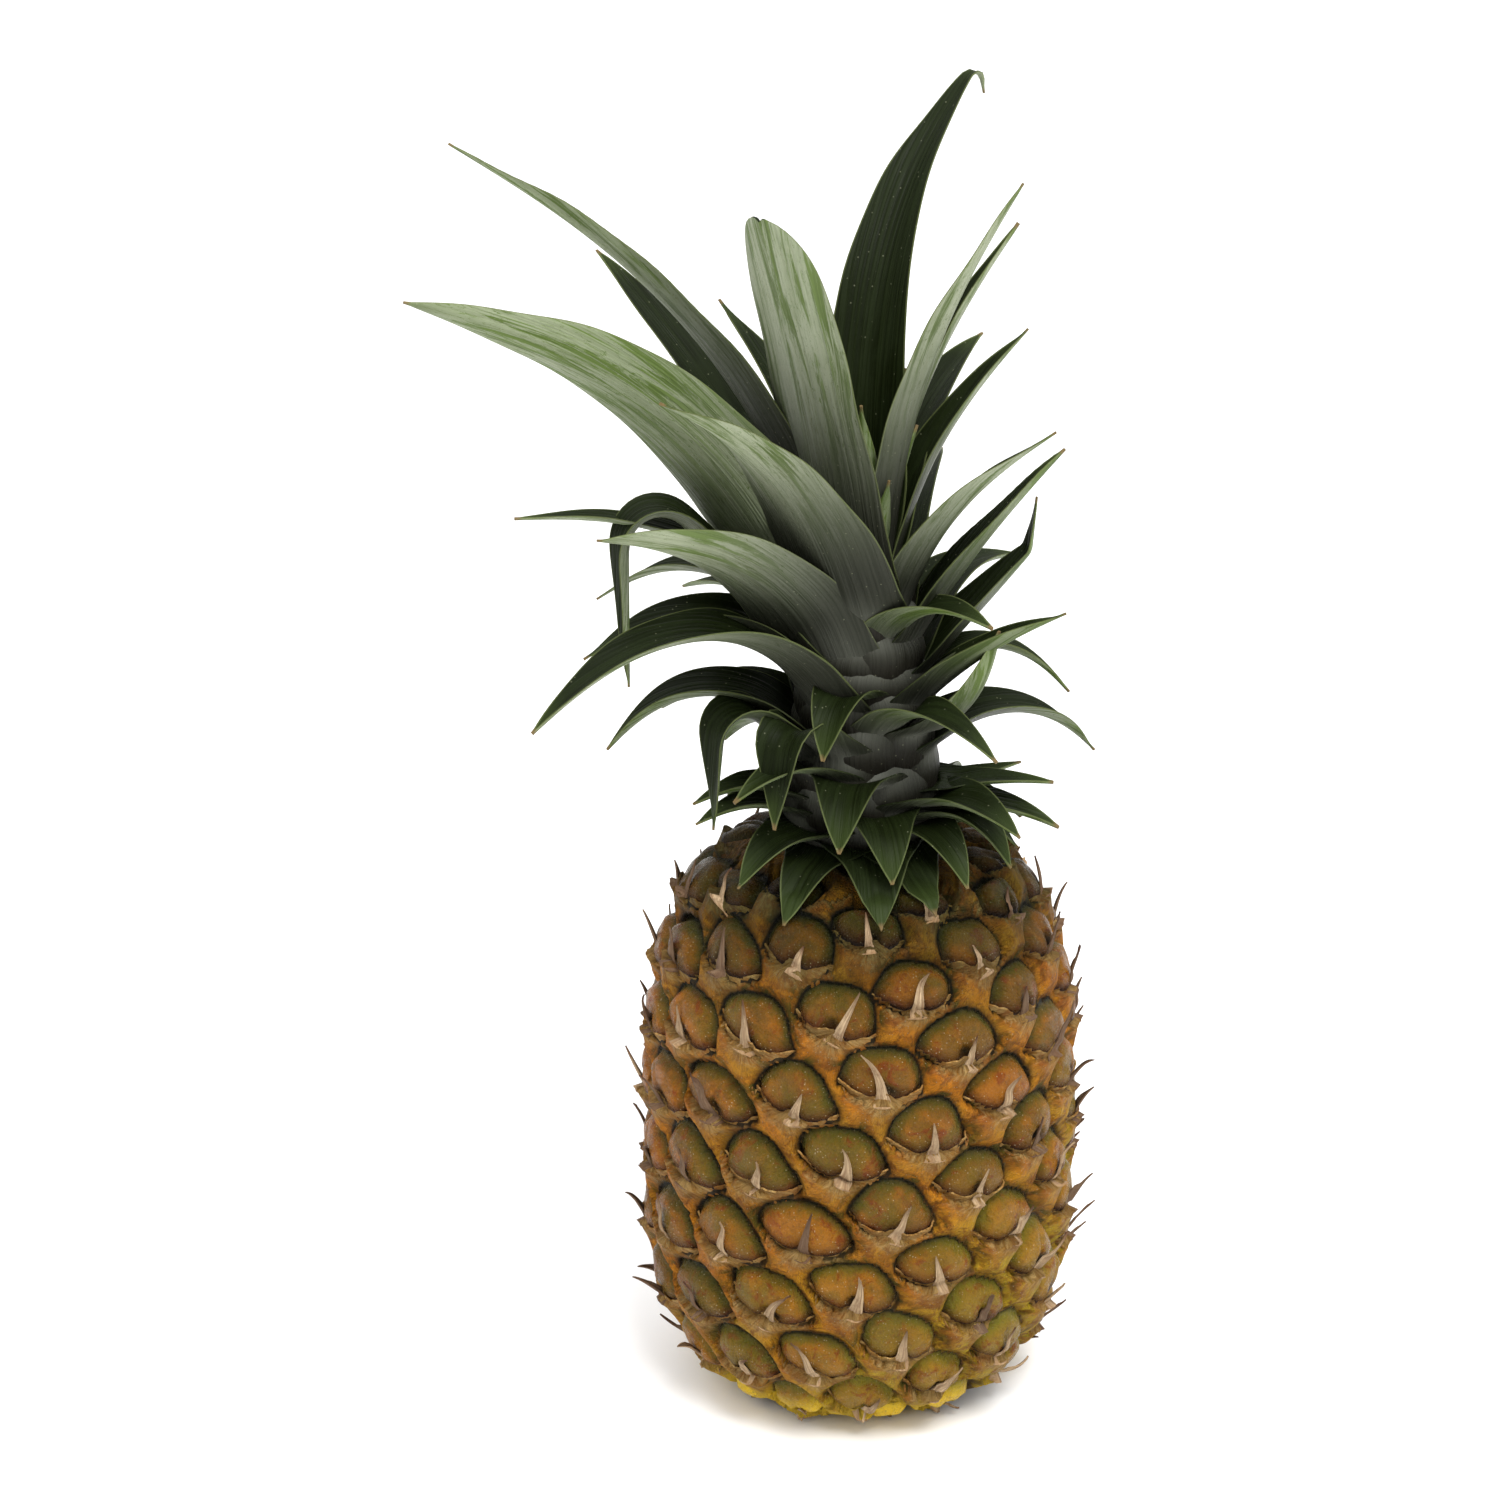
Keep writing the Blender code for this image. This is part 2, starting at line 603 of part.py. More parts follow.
def build_crown():
    """The crown's short stem, swollen by tight leaf bases, with every leaf fused into it."""
    bottom = PROFILE_HEIGHT[-1] - SOCKET_DEPTH + TOUCH_GAP
    heart = [(STEM_RADIUS, bottom), (STEM_RADIUS, FRUIT_HEIGHT + TOP_RISE + 1)]
    for across, up in HEART_RINGS:
        heart.append((across * HEART_RADIUS, FRUIT_HEIGHT + up * STEM_HEIGHT))
    rings = len(heart)
    sides = DRUM_SIDES
    points = []
    for radius, height in heart:
        for side in range(sides):
            turn = 2 * math.pi * side / sides
            points.append((radius * math.sin(turn), -radius * math.cos(turn), height))
    faces = [tuple(reversed(range(sides))), tuple(range(sides * (rings - 1), sides * rings))]
    for k in range(rings - 1):
        for side in range(sides):
            after = (side + 1) % sides
            low, high = k * sides, (k + 1) * sides
            faces.append((low + side, low + after, high + after, high + side))
    crown = make_object("crown", points, faces)
    leaves = bpy.data.collections.new("leaves")
    for row in FRONT_LEAVES + ruled_leaves():
        add_leaf(row, leaves)
    fuse(crown, leaves)
    give_material(crown, "leaf_green", (0.1, 0.15, 0.06), 0.45)
    return crown


clear_scene()
build_fruit(eye_places())
build_stub()
build_crown()
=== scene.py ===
import math
import random

import bpy
import numpy as np
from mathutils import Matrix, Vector, noise


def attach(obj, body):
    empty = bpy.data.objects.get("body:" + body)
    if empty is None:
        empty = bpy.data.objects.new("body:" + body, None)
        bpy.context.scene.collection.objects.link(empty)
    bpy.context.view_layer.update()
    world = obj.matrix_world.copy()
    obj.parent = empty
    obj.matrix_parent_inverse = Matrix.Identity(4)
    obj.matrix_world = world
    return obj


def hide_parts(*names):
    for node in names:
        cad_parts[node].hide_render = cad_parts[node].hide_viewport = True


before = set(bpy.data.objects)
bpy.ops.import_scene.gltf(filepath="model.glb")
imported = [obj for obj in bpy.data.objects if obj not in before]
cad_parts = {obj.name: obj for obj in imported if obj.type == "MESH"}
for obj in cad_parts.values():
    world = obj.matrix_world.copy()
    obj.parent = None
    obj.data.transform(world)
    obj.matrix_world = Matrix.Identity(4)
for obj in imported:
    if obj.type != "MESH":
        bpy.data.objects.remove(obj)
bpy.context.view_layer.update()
scene = bpy.context.scene
mm = 0.001
print("frame loaded:", ", ".join(sorted(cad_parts)))

# Azimuth 0 is the front, -Y, and azimuths grow towards +X. Sizes are in millimetres and
# degrees, and become metres when a mesh gets its points.


def smoothStep(share):
    share = np.clip(share, 0.0, 1.0)
    return share * share * (3 - 2 * share)


def deselectAll():
    bpy.ops.object.select_all(action="DESELECT")


def addGrid(name, columns, rows):
    deselectAll()
    bpy.ops.mesh.primitive_grid_add(x_subdivisions=columns, y_subdivisions=rows, size=2)
    sheet = bpy.context.object
    sheet.name = name
    return sheet


def copySheet(sheet, name):
    made = sheet.copy()
    made.data = sheet.data.copy()
    made.name = name
    scene.collection.objects.link(made)
    return made


def readPoints(piece):
    points = np.empty(len(piece.data.vertices) * 3)
    piece.data.vertices.foreach_get("co", points)
    return points.reshape(-1, 3)


def sheetShares(sheet):
    # where each point lies on the flat grid, from -1 to 1 across and from 0 to 1 along
    points = readPoints(sheet)
    return points[:, 0].copy(), (points[:, 1] + 1) / 2


def placePoints(piece, points):
    piece.data.vertices.foreach_set("co", (np.asarray(points) * mm).ravel())
    piece.data.update()


def addValues(piece, **values):
    # keeps one number per point under each name, for the materials to read
    count = len(piece.data.vertices)
    for name, value in values.items():
        kept = piece.data.attributes.new(name, "FLOAT", "POINT")
        kept.data.foreach_set("value", np.full(count, value, np.float32))


def pick(piece):
    deselectAll()
    piece.select_set(True)
    bpy.context.view_layer.objects.active = piece


def applyAll(piece):
    pick(piece)
    for modifier in list(piece.modifiers):
        bpy.ops.object.modifier_apply(modifier=modifier.name)


def joinPieces(name, parts):
    pick(parts[0])
    for part in parts:
        part.select_set(True)
    bpy.ops.object.join()
    parts[0].name = name
    parts[0].data.name = name
    return parts[0]


def editAll(piece, operation, **settings):
    # runs one edit-mode operation on the whole of a piece
    pick(piece)
    bpy.ops.object.mode_set(mode="EDIT")
    bpy.ops.mesh.select_all(action="SELECT")
    operation(**settings)
    bpy.ops.object.mode_set(mode="OBJECT")


def mergeDoubles(piece, distance):
    editAll(piece, bpy.ops.mesh.remove_doubles, threshold=distance * mm)
    editAll(piece, bpy.ops.mesh.normals_make_consistent, inside=False)


def shadeSmooth(piece, angle=None):
    pick(piece)
    if angle is None:
        bpy.ops.object.shade_smooth()
    else:
        bpy.ops.object.shade_smooth_by_angle(angle=math.radians(angle))


def polar(azimuth, radius, height):
    # points at an azimuth, a distance from the axis and a height
    places = np.broadcast_arrays(radius * np.sin(azimuth), -radius * np.cos(azimuth), height)
    return np.stack(places, axis=-1)


# Camera, floor and light

photoView = {
    "lookAt": (-29.2, 0.0, 179.0),
    "elevation": 20.0,
    "distance": 1031.0,
    "lens": 95.0,
    "sensor": 36.0,
}
studio = {
    "sky": 0.5,
    "floor": (0.97, 0.97, 0.97, 1.0),
    "floorSize": 60000.0,
    "floorDrop": 0.2,
    "aim": (0.0, 0.0, 150.0),
}
# place, size and power of each soft light
softLights = {
    "keyLight": ((350.0, -900.0, 1650.0), 700.0, 26.0),
    "ceilingLight": ((0.0, 0.0, 4000.0), 16000.0, 860.0),
}


def addCamera():
    tilt = math.radians(photoView["elevation"])
    back = photoView["distance"] * Vector((0, -math.cos(tilt), math.sin(tilt)))
    place = (Vector(photoView["lookAt"]) + back) * mm
    deselectAll()
    bpy.ops.object.camera_add(location=place, rotation=(math.pi / 2 - tilt, 0, 0))
    camera = bpy.context.object
    camera.data.lens = photoView["lens"]
    camera.data.sensor_width = photoView["sensor"]
    camera.data.clip_start = 0.02
    camera.data.clip_end = 60.0
    scene.camera = camera


def addSoftLight(name, place, size, power):
    deselectAll()
    bpy.ops.object.light_add(type="AREA", location=Vector(place) * mm)
    light = bpy.context.object
    light.name = name
    light.data.size = size * mm
    light.data.energy = power
    aim = Vector(studio["aim"]) * mm - light.location
    light.rotation_euler = aim.to_track_quat("-Z", "Y").to_euler()


def addStudio():
    scene.view_settings.view_transform = "Standard"
    world = bpy.data.worlds.new("paleRoom")
    scene.world = world
    world.use_nodes = True
    sky = world.node_tree.nodes["Background"]
    sky.inputs["Color"].default_value = (1.0, 1.0, 1.0, 1.0)
    sky.inputs["Strength"].default_value = studio["sky"]
    for name, values in softLights.items():
        addSoftLight(name, *values)
    deselectAll()
    low = -studio["floorDrop"] * mm
    bpy.ops.mesh.primitive_plane_add(size=studio["floorSize"] * mm, location=(0, 0, low))
    floor = bpy.context.object
    floor.name = "floor"
    paint = bpy.data.materials.new("paleFloor")
    paint.use_nodes = True
    shader = paint.node_tree.nodes["Principled BSDF"]
    shader.inputs["Base Color"].default_value = studio["floor"]
    shader.inputs["Roughness"].default_value = 0.9
    floor.data.materials.append(paint)


addCamera()
addStudio()
print("camera, floor and lights are set")


# Colours in linear red, green and blue

colours = {
    # the face of an eye
    "faceBrown": (0.15, 0.07, 0.008),
    "faceRust": (0.3, 0.105, 0.009),
    "faceGreen": (0.1, 0.085, 0.01),
    "faceRipe": (0.3, 0.185, 0.014),
    "faceRed": (0.16, 0.024, 0.004),
    "faceStreak": (0.3, 0.16, 0.03),
    "rimGreen": (0.05, 0.06, 0.008),
    "rimRipe": (0.16, 0.16, 0.014),
    "rimDark": (0.016, 0.026, 0.008),
    "faceShadeByMargin": (0.05, 0.014, 0.004),
    "pit": (0.014, 0.012, 0.005),
    # the bract under it
    "fleshOrange": (0.78, 0.28, 0.016),
    "fleshAmber": (0.62, 0.29, 0.024),
    "fleshRipe": (0.62, 0.43, 0.025),
    "fleshPatch": (0.4, 0.12, 0.012),
    "fleshRed": (0.2, 0.055, 0.009),
    "fleshStreak": (0.3, 0.13, 0.02),
    "wingRed": (0.55, 0.12, 0.01),
    "tailGreen": (0.07, 0.09, 0.01),
    "paperDark": (0.36, 0.17, 0.035),
    "paperPale": (0.72, 0.48, 0.18),
    "paperBrown": (0.36, 0.13, 0.025),
    # what lies over both
    "footGold": (0.95, 0.68, 0.035),
    "footOchre": (0.62, 0.38, 0.03),
    "footYellowLit": (0.98, 0.66, 0.05),
    "grime": (0.1, 0.04, 0.01),
    "dust": (0.55, 0.45, 0.28),
    "grooveShade": (0.03, 0.024, 0.005),
    "grooveFloorShade": (0.01, 0.009, 0.004),
    "crevice": (0.014, 0.005, 0.002),
    "crownShadowTint": (0.28, 0.35, 0.29),
    "barkDark": (0.022, 0.014, 0.01),
    "barkPale": (0.12, 0.07, 0.045),
    # spines
    "strawDark": (0.24, 0.145, 0.075),
    "strawPale": (0.55, 0.4, 0.24),
    "spineRoot": (0.3, 0.16, 0.06),
    "spineTip": (0.12, 0.055, 0.025),
    "spineSpots": (0.13, 0.06, 0.03),
    "spineDarkAndShade": (0.07, 0.032, 0.018),
    # leaves, and the stem between them
    "outerGreen": (0.065, 0.1, 0.02),
    "outerRib": (0.1, 0.15, 0.034),
    "bloom": (0.28, 0.31, 0.205),
    "bloomRib": (0.32, 0.35, 0.245),
    "bloomMottle": (0.19, 0.225, 0.13),
    "leafBaseShade": (0.015, 0.016, 0.011),
    "leafBaseShadeRib": (0.024, 0.025, 0.018),
    "bulgeBloomAndHighlight": (0.115, 0.119, 0.096),
    "innerGreen": (0.006, 0.009, 0.0022),
    "innerRib": (0.01, 0.015, 0.004),
    "innerMottle": (0.016, 0.024, 0.008),
    "coveredShade": (0.013, 0.011, 0.008),
    "nearTip": (0.05, 0.075, 0.018),
    "leafEdge": (0.17, 0.2, 0.075),
    "dryTip": (0.16, 0.1, 0.045),
    "leafDust": (0.3, 0.31, 0.2),
    "stemDark": (0.012, 0.011, 0.007),
    "stemPale": (0.04, 0.038, 0.025),
    # cut stalk
    "fibreDark": (0.17, 0.1, 0.05),
    "fibrePale": (0.5, 0.36, 0.2),
    "stalkStain": (0.12, 0.08, 0.045),
}


# Shader helpers. Each adds its node to the tree of the sockets that it is given, and a
# colour socket also takes the name of a colour above.

def isSocket(value):
    return isinstance(value, bpy.types.NodeSocket)


def link(value, socket):
    socket.id_data.links.new(value, socket)


def addNode(kind, links, **settings):
    tree = next(value.id_data for value in links.values() if isSocket(value))
    made = tree.nodes.new("ShaderNode" + kind)
    for key, value in settings.items():
        setattr(made, key, value)
    for key, value in links.items():
        if isSocket(value):
            link(value, made.inputs[key])
        elif isinstance(value, str):
            made.inputs[key].default_value = (*colours[value], 1.0)
        else:
            made.inputs[key].default_value = value
    return made


def calc(operation, *values, clamp=False):
    links = dict(enumerate(values))
    return addNode("Math", links, operation=operation, use_clamp=clamp).outputs[0]


def times(first, second):
    return calc("MULTIPLY", first, second)


def plus(first, second):
    return calc("ADD", first, second)


def minus(first, second):
    return calc("SUBTRACT", first, second)


def ramp(value, low, high, start=0.0, end=1.0):
    links = {"Value": value, "From Min": low, "From Max": high, "To Min": start, "To Max": end}
    return addNode("MapRange", links, interpolation_type="SMOOTHSTEP").outputs["Result"]


def mixColour(share, first, second, blend="MIX"):
    links = {0: share, 6: first, 7: second}
    return addNode("Mix", links, data_type="RGBA", blend_type=blend).outputs[2]


def layer(base, colour, *shares):
    # lays a colour over the base by the product of the shares
    share = shares[0]
    for other in shares[1:]:
        share = times(share, other)
    return mixColour(share, base, colour)


def layers(base, *rows):
    # each row is a colour, a value, where along it the colour starts to show and where it
    # is full, and then shares that thin it
    for colour, value, none, full, *shares in rows:
        base = layer(base, colour, ramp(value, none, full), *shares)
    return base


def speckle(place, scale, detail=3.0, roughness=0.6, distortion=0.0):
    links = {"Vector": place, "Scale": scale, "Detail": detail}
    links.update({"Roughness": roughness, "Distortion": distortion})
    return addNode("TexNoise", links).outputs["Fac"]


def joinVector(x, y, z):
    return addNode("CombineXYZ", {0: x, 1: y, 2: z}).outputs[0]


def newMaterial(name, roughness, specular):
    # the material, its shader and the place on the piece that its patterns read
    material = bpy.data.materials.new(name)
    material.use_nodes = True
    nodes = material.node_tree.nodes
    shader = nodes["Principled BSDF"]
    shader.inputs["Roughness"].default_value = roughness
    shader.inputs["Specular IOR Level"].default_value = specular
    return material, shader, nodes.new("ShaderNodeTexCoord").outputs["Object"]


def readValue(shader, name):
    made = shader.id_data.nodes.new("ShaderNodeAttribute")
    made.attribute_name = name
    return made.outputs["Fac"]


def addBump(shader, height, depth):
    bump = addNode("Bump", {"Height": height, "Distance": depth * mm})
    link(bump.outputs["Normal"], shader.inputs["Normal"])


def newGroup(name, inputs, outputs):
    tree = bpy.data.node_groups.new(name, "ShaderNodeTree")
    for label, value in inputs.items():
        kind = "NodeSocketVector" if isinstance(value, tuple) else "NodeSocketFloat"
        socket = tree.interface.new_socket(name=label, in_out="INPUT", socket_type=kind)
        socket.default_value = value
    for label in outputs:
        tree.interface.new_socket(name=label, in_out="OUTPUT", socket_type="NodeSocketFloat")
    given = tree.nodes.new("NodeGroupInput").outputs
    return tree, given, tree.nodes.new("NodeGroupOutput").inputs


def placeGroup(group, **links):
    return addNode("Group", links, node_tree=group).outputs


def buildFibreGroup():
    # streaks that run along a dry or leafy part, from its own across and along values
    inputs = dict(Across=0.0, Along=0.0, Seed=0.0, Fineness=10.0, Length=0.3)
    group, given, out = newGroup("fibreStreaks", inputs, ("Streak", "Broken"))
    across = times(given["Across"], given["Fineness"])
    along = times(given["Along"], given["Length"])
    fine = speckle(joinVector(across, along, times(given["Seed"], 37.0)), 1.0, 4.0, 0.65)
    link(ramp(fine, 0.3, 0.7), out["Streak"])
    coarse = joinVector(times(across, 0.31), times(along, 2.3), times(given["Seed"], 11.0))
    link(ramp(speckle(coarse, 1.0, 5.0, 0.7, 0.6), 0.42, 0.66), out["Broken"])
    return group


def buildSpeckGroup():
    # pale dust and small scars that lie all over a grown skin
    inputs = dict(Place=(0, 0, 0), Scale=600.0, Amount=0.1)
    group, given, out = newGroup("smallSpecks", inputs, ("Speck", "Grain"))
    cells = addNode("TexVoronoi", {"Vector": given["Place"], "Scale": given["Scale"]}).outputs
    chosen = addNode("SeparateColor", {0: cells["Color"]}).outputs[0]
    kept = calc("LESS_THAN", chosen, given["Amount"])
    link(times(ramp(cells["Distance"], 0.3, 0.12), kept), out["Speck"])
    link(speckle(given["Place"], times(given["Scale"], 0.8), 4.0, 0.7), out["Grain"])
    return group


fibreStreaks = buildFibreGroup()
smallSpecks = buildSpeckGroup()


# The fruit's barrel and the spiral of its eyes, with the same values as the CAD solid

fruitShape = {
    "height": 150.0,
    "bellyRadius": 57.4,
    "bellyHeight": 74.0,
    "lowerReach": 81.0,
    "lowerPower": 3.6,
    "upperReach": 90.5,
    "upperPower": 3.3,
    "profilePower": 1 / 2.2,
    "footRounding": 8.0,
    "footRoundingHeight": 6.0,
    "topRise": 4.0,
    "socketRadius": 16.3,
    "socketDepth": 3.0,
    "pocketRadius": 13.3,
    "pocketHeight": 12.3,
    "flatSpot": [(14.1, 0.3), (17.0, 0.15), (20.5, 0.05)],
    "columns": 470,
    "rows": 209,
}
eyeSpiral = {
    "turn": 137.57,
    "firstAzimuth": -5.0,
    "firstPlace": 98.5,
    "rise": 1.11,
    "endCrowding": -0.3,
    "leanFore": -7.0,
    "leanSide": -7.8,
    "crowdFore": 0.146,
    "crowdSide": 0.08,
    "ranks": 85,
    "lowest": 1.0,
    "highest": 172.0,
}
eyeRelief = {
    "faceWide": 10.9,
    "faceTall": 13.4,
    "groove": 3.0,
    "faceShoulder": 3.4,
    "bractShoulder": 3.8,
    "faceRise": 1.5,
    "bractLift": 2.1,
    "crevice": 2.0,
    "keel": 1.0,
    "pit": 1.9,
    "lumps": 0.5,
    "footKnobs": 1.3,
    "tent": 1.7,
    "tentWide": 2.1,
}


def bodyRadius(height):
    shape = fruitShape
    below = np.clip((shape["bellyHeight"] - height) / shape["lowerReach"], 0, 1)
    above = np.clip((height - shape["bellyHeight"]) / shape["upperReach"], 0, 1)
    fall = np.maximum(below ** shape["lowerPower"], above ** shape["upperPower"])
    radius = shape["bellyRadius"] * (1 - fall) ** shape["profilePower"]
    foot = np.clip(1 - height / shape["footRoundingHeight"], 0, 1) ** 2
    return radius - shape["footRounding"] * foot


def skinProfile():
    heights = np.linspace(0, fruitShape["height"], 300)
    side = np.c_[bodyRadius(heights), heights]
    share = np.linspace(0, 1, 40)[1:]
    top = np.c_[
        side[-1, 0] + (fruitShape["socketRadius"] - side[-1, 0]) * share,
        fruitShape["height"] + fruitShape["topRise"] * np.sin(share * math.pi / 2),
    ]
    points = np.concatenate([side, top])
    along = np.r_[0, np.cumsum(np.hypot(*np.diff(points, axis=0).T))]
    return points[:, 0], points[:, 1], along


profileRadius, profileHeight, profileAlong = skinProfile()
skinEnd = profileAlong[-1]


def radiusAt(along):
    return np.interp(along, profileAlong, profileRadius)


def heightAt(along):
    return np.interp(along, profileAlong, profileHeight)


def skinPoint(azimuth, along, lift):
    slopeOut = radiusAt(along + 0.5) - radiusAt(along - 0.5)
    slopeUp = heightAt(along + 0.5) - heightAt(along - 0.5)
    length = np.hypot(slopeOut, slopeUp)
    out = radiusAt(along) + lift * slopeUp / length
    return polar(azimuth, out, heightAt(along) - lift * slopeOut / length)


def eyePlaces():
    # azimuth, place along the skin, width, height and slant of every eye's cell
    spiral = eyeSpiral
    belly = fruitShape["bellyRadius"]
    place = {0: spiral["firstPlace"]}
    for way in (1, -1):
        here = spiral["firstPlace"]
        for rank in range(way, way * (spiral["ranks"] + 1), way):
            here += way * spiral["rise"] * (radiusAt(here) / belly) ** spiral["endCrowding"]
            place[rank] = here
    found = []
    for rank in range(-spiral["ranks"], spiral["ranks"] + 1):
        turn = math.radians(spiral["firstAzimuth"] + spiral["turn"] * rank)
        along = place[rank] + spiral["leanFore"] * (math.cos(turn) - 1)
        along += spiral["leanSide"] * math.sin(turn)
        if not spiral["lowest"] < along < spiral["highest"]:
            continue
        spread = 1 + spiral["crowdFore"] * math.cos(turn) - spiral["crowdSide"] * math.sin(turn)
        slope = -spiral["leanFore"] * math.sin(turn) + spiral["leanSide"] * math.cos(turn)
        azimuth = turn + spiral["crowdFore"] * math.sin(turn)
        azimuth += spiral["crowdSide"] * (math.cos(turn) - 1)
        girth = float(radiusAt(place[rank])) / belly
        wide = girth * spread
        found.append((azimuth, along, wide, girth**-0.3, slope / (belly * wide)))
    return np.array(found)


eyeData = eyePlaces()
eyeDraw = np.random.RandomState(7)
eyeCount = len(eyeData)
eyeTurn, eyeAlong, eyeWide, eyeTall, eyeSlant = eyeData.T
eyeTilt = np.radians(eyeDraw.uniform(-5, 5, eyeCount))
eyeWideOwn = eyeDraw.uniform(0.95, 1.04, eyeCount)
eyeTallOwn = eyeDraw.uniform(0.93, 1.05, eyeCount)
eyeDeep = eyeDraw.uniform(0.75, 1.25, eyeCount)
eyePit = np.where(eyeDraw.uniform(0, 1, eyeCount) < 0.6, eyeDraw.uniform(0.5, 1.2, eyeCount), 0.0)
eyePitSide = eyeDraw.uniform(-0.5, 2.2, eyeCount)
eyeTint = eyeDraw.uniform(0, 1, eyeCount)
eyeCrease = eyeDraw.uniform(-0.6, 0.6, eyeCount)
eyePhase = eyeDraw.uniform(0, 2 * math.pi, eyeCount)


def marginLine(x):
    # the upper margin of a bract in its own cell: a slanted, slightly hollow line that
    # rises like a tent to the root of the spine
    tent = eyeRelief["tent"] * np.exp(-((x / eyeRelief["tentWide"]) ** 2))
    return -0.7 - 0.05 * x + 0.034 * x * x + tent


def readPatch(azimuth, along):
    radius = radiusAt(along)
    turn = (azimuth[:, None] - eyeTurn[None, :] + math.pi) % (2 * math.pi) - math.pi
    across = radius[:, None] * turn
    up = along[:, None] - eyeAlong[None, :]
    x = across / eyeWide
    y = (up - eyeSlant * across) / eyeTall
    near = np.argpartition(np.hypot(x, y), 7, axis=1)[:, :8]
    x = np.take_along_axis(x, near, 1)
    y = np.take_along_axis(y, near, 1)
    cosine, sine = np.cos(eyeTilt[near]), np.sin(eyeTilt[near])
    x, y = x * cosine + y * sine, y * cosine - x * sine
    wide = eyeRelief["faceWide"] * eyeWideOwn[near]
    tall = eyeRelief["faceTall"] * eyeTallOwn[near]
    bow = np.abs(x / wide) ** 2.4 + np.abs(y / np.where(y > 0, tall, tall * 0.9)) ** 2.1
    turn, phase = np.arctan2(y, x), eyePhase[near]
    uneven = 0.05 * np.sin(3 * turn + phase) + 0.035 * np.sin(5 * turn + 2.3 * phase)
    field = (1 + uneven - bow ** (1 / 2.2)) * wide
    above = y - marginLine(x)
    inside = np.minimum(field, above)
    rows = np.arange(len(along))
    face = inside.argmax(axis=1)
    onFace = inside[rows, face] > 0
    bractReach = np.hypot(x, (y + 5) * 1.1) + np.where(above > 0, 60.0, 0.0)
    bract = bractReach.argmin(axis=1)
    own = np.where(onFace, face, bract)
    outside = np.where(above > -1.5, field, -99.0).max(axis=1)
    rim = np.where(onFace, field[rows, face], np.clip(outside, -20.0, 0.0))
    margin = np.where(onFace, above[rows, face], np.minimum(above[rows, bract], 0.0))
    return np.stack([rim, margin, x[rows, own], y[rows, own], near[rows, own]], axis=1)


def readSkin(azimuth, along):
    # distance inside a face's rim, distance over the margin, place in the cell, and the eye
    parts = []
    for start in range(0, len(along), 12000):
        patch = slice(start, start + 12000)
        parts.append(readPatch(azimuth[patch], along[patch]))
    rim, margin, x, y, eye = np.concatenate(parts).T
    return rim, margin, x, y, eye.astype(int)


def pitShare(margin, x, eye):
    # the dark hollow that many eyes have beside the root of the spine
    away = np.hypot((x - eyePitSide[eye]) / 1.9, (margin - 2.4) / 1.5)
    return eyePit[eye] * np.exp(-(away**2))


def skinLift(along, rim, margin, x, y, eye):
    shape = eyeRelief
    onFace = margin > 0
    groove = shape["groove"] * eyeDeep[eye]
    face = -groove * (1 - smoothStep(rim / shape["faceShoulder"])) ** 1.1
    face += shape["faceRise"] * smoothStep(rim / 10.0)
    face -= shape["crevice"] * np.exp(-np.maximum(margin, 0) / 1.5)
    face -= shape["pit"] * pitShare(margin, x, eye)
    crease = np.exp(-(((x - eyeCrease[eye] * y) / 0.9) ** 2)) * smoothStep(rim / 4)
    face -= 0.5 * eyePit[eye] * crease
    wing = np.clip(1 - (x / 11.5) ** 2, 0, 1)
    bract = -groove * (1 - smoothStep(-rim / shape["bractShoulder"])) ** 1.2
    bract += shape["bractLift"] * (0.35 + 0.65 * wing) * np.exp(np.minimum(margin, 0) / 4.5)
    keel = np.exp(-((x / 2.2) ** 2)) * smoothStep(-margin / 2) * (1 - smoothStep(-margin / 12))
    bract += shape["keel"] * keel
    fade = smoothStep((along - 1.0) / 6.0) * smoothStep((skinEnd - 3.0 - along) / 8.0)
    return np.where(onFace, face, bract) * fade


def roughness(points, size, seed=0.0):
    # smooth noise from -1 to 1 at each point, with lumps of about this size
    shift = Vector((seed, seed * 0.7, seed * 1.3))
    return np.array([noise.noise(Vector(p) / size + shift) for p in points.tolist()])


# where the lowest bracts have dried: side, or both, then middle and half width in degrees, and
# where the patch starts to end along the skin and over what length
driedPatches = [(-1, 52, 22, 6.0, 10.0), (1, 58, 20, 12.0, 20.0), (None, 150, 34, 6.0, 16.0)]


def footShare(along):
    return 1 - smoothStep((along - 8.0) / 26.0)


def skinValues(piece, azimuth, points, along, rim, margin, x, y, eye):
    # what the rind's material reads at each point
    height = points[:, 2]
    ripe = 0.5 - (height - 60) / 120 + 0.3 * np.sin(azimuth) + 0.3 * roughness(points, 26.0, 3.0)
    degrees = (np.degrees(azimuth) + 180) % 360 - 180
    dried = np.zeros(len(along))
    for side, middle, half, start, reach in driedPatches:
        places = np.abs(degrees) if side is None else degrees * side
        patch = np.exp(-(((places - middle) / half) ** 4))
        dried = np.maximum(dried, patch * (1 - smoothStep((along - start) / reach)))
    dried = dried * (1.1 + 1.2 * roughness(points, 7.0, 6.0))
    addValues(
        piece,
        rimDistance=rim,
        marginDistance=margin,
        eyeAcross=x,
        eyeUp=y,
        eyeTint=eyeTint[eye],
        ripeness=np.clip(ripe, 0, 1),
        footShare=footShare(along),
        driedShare=np.clip(dried, 0, 1),
        # where the crown's shadow is painted over the top of the fruit
        crownShade=smoothStep((along - 130.0) / 38.0),
        pitShade=np.clip(1.4 * pitShare(margin, x, eye), 0, 1),
    )


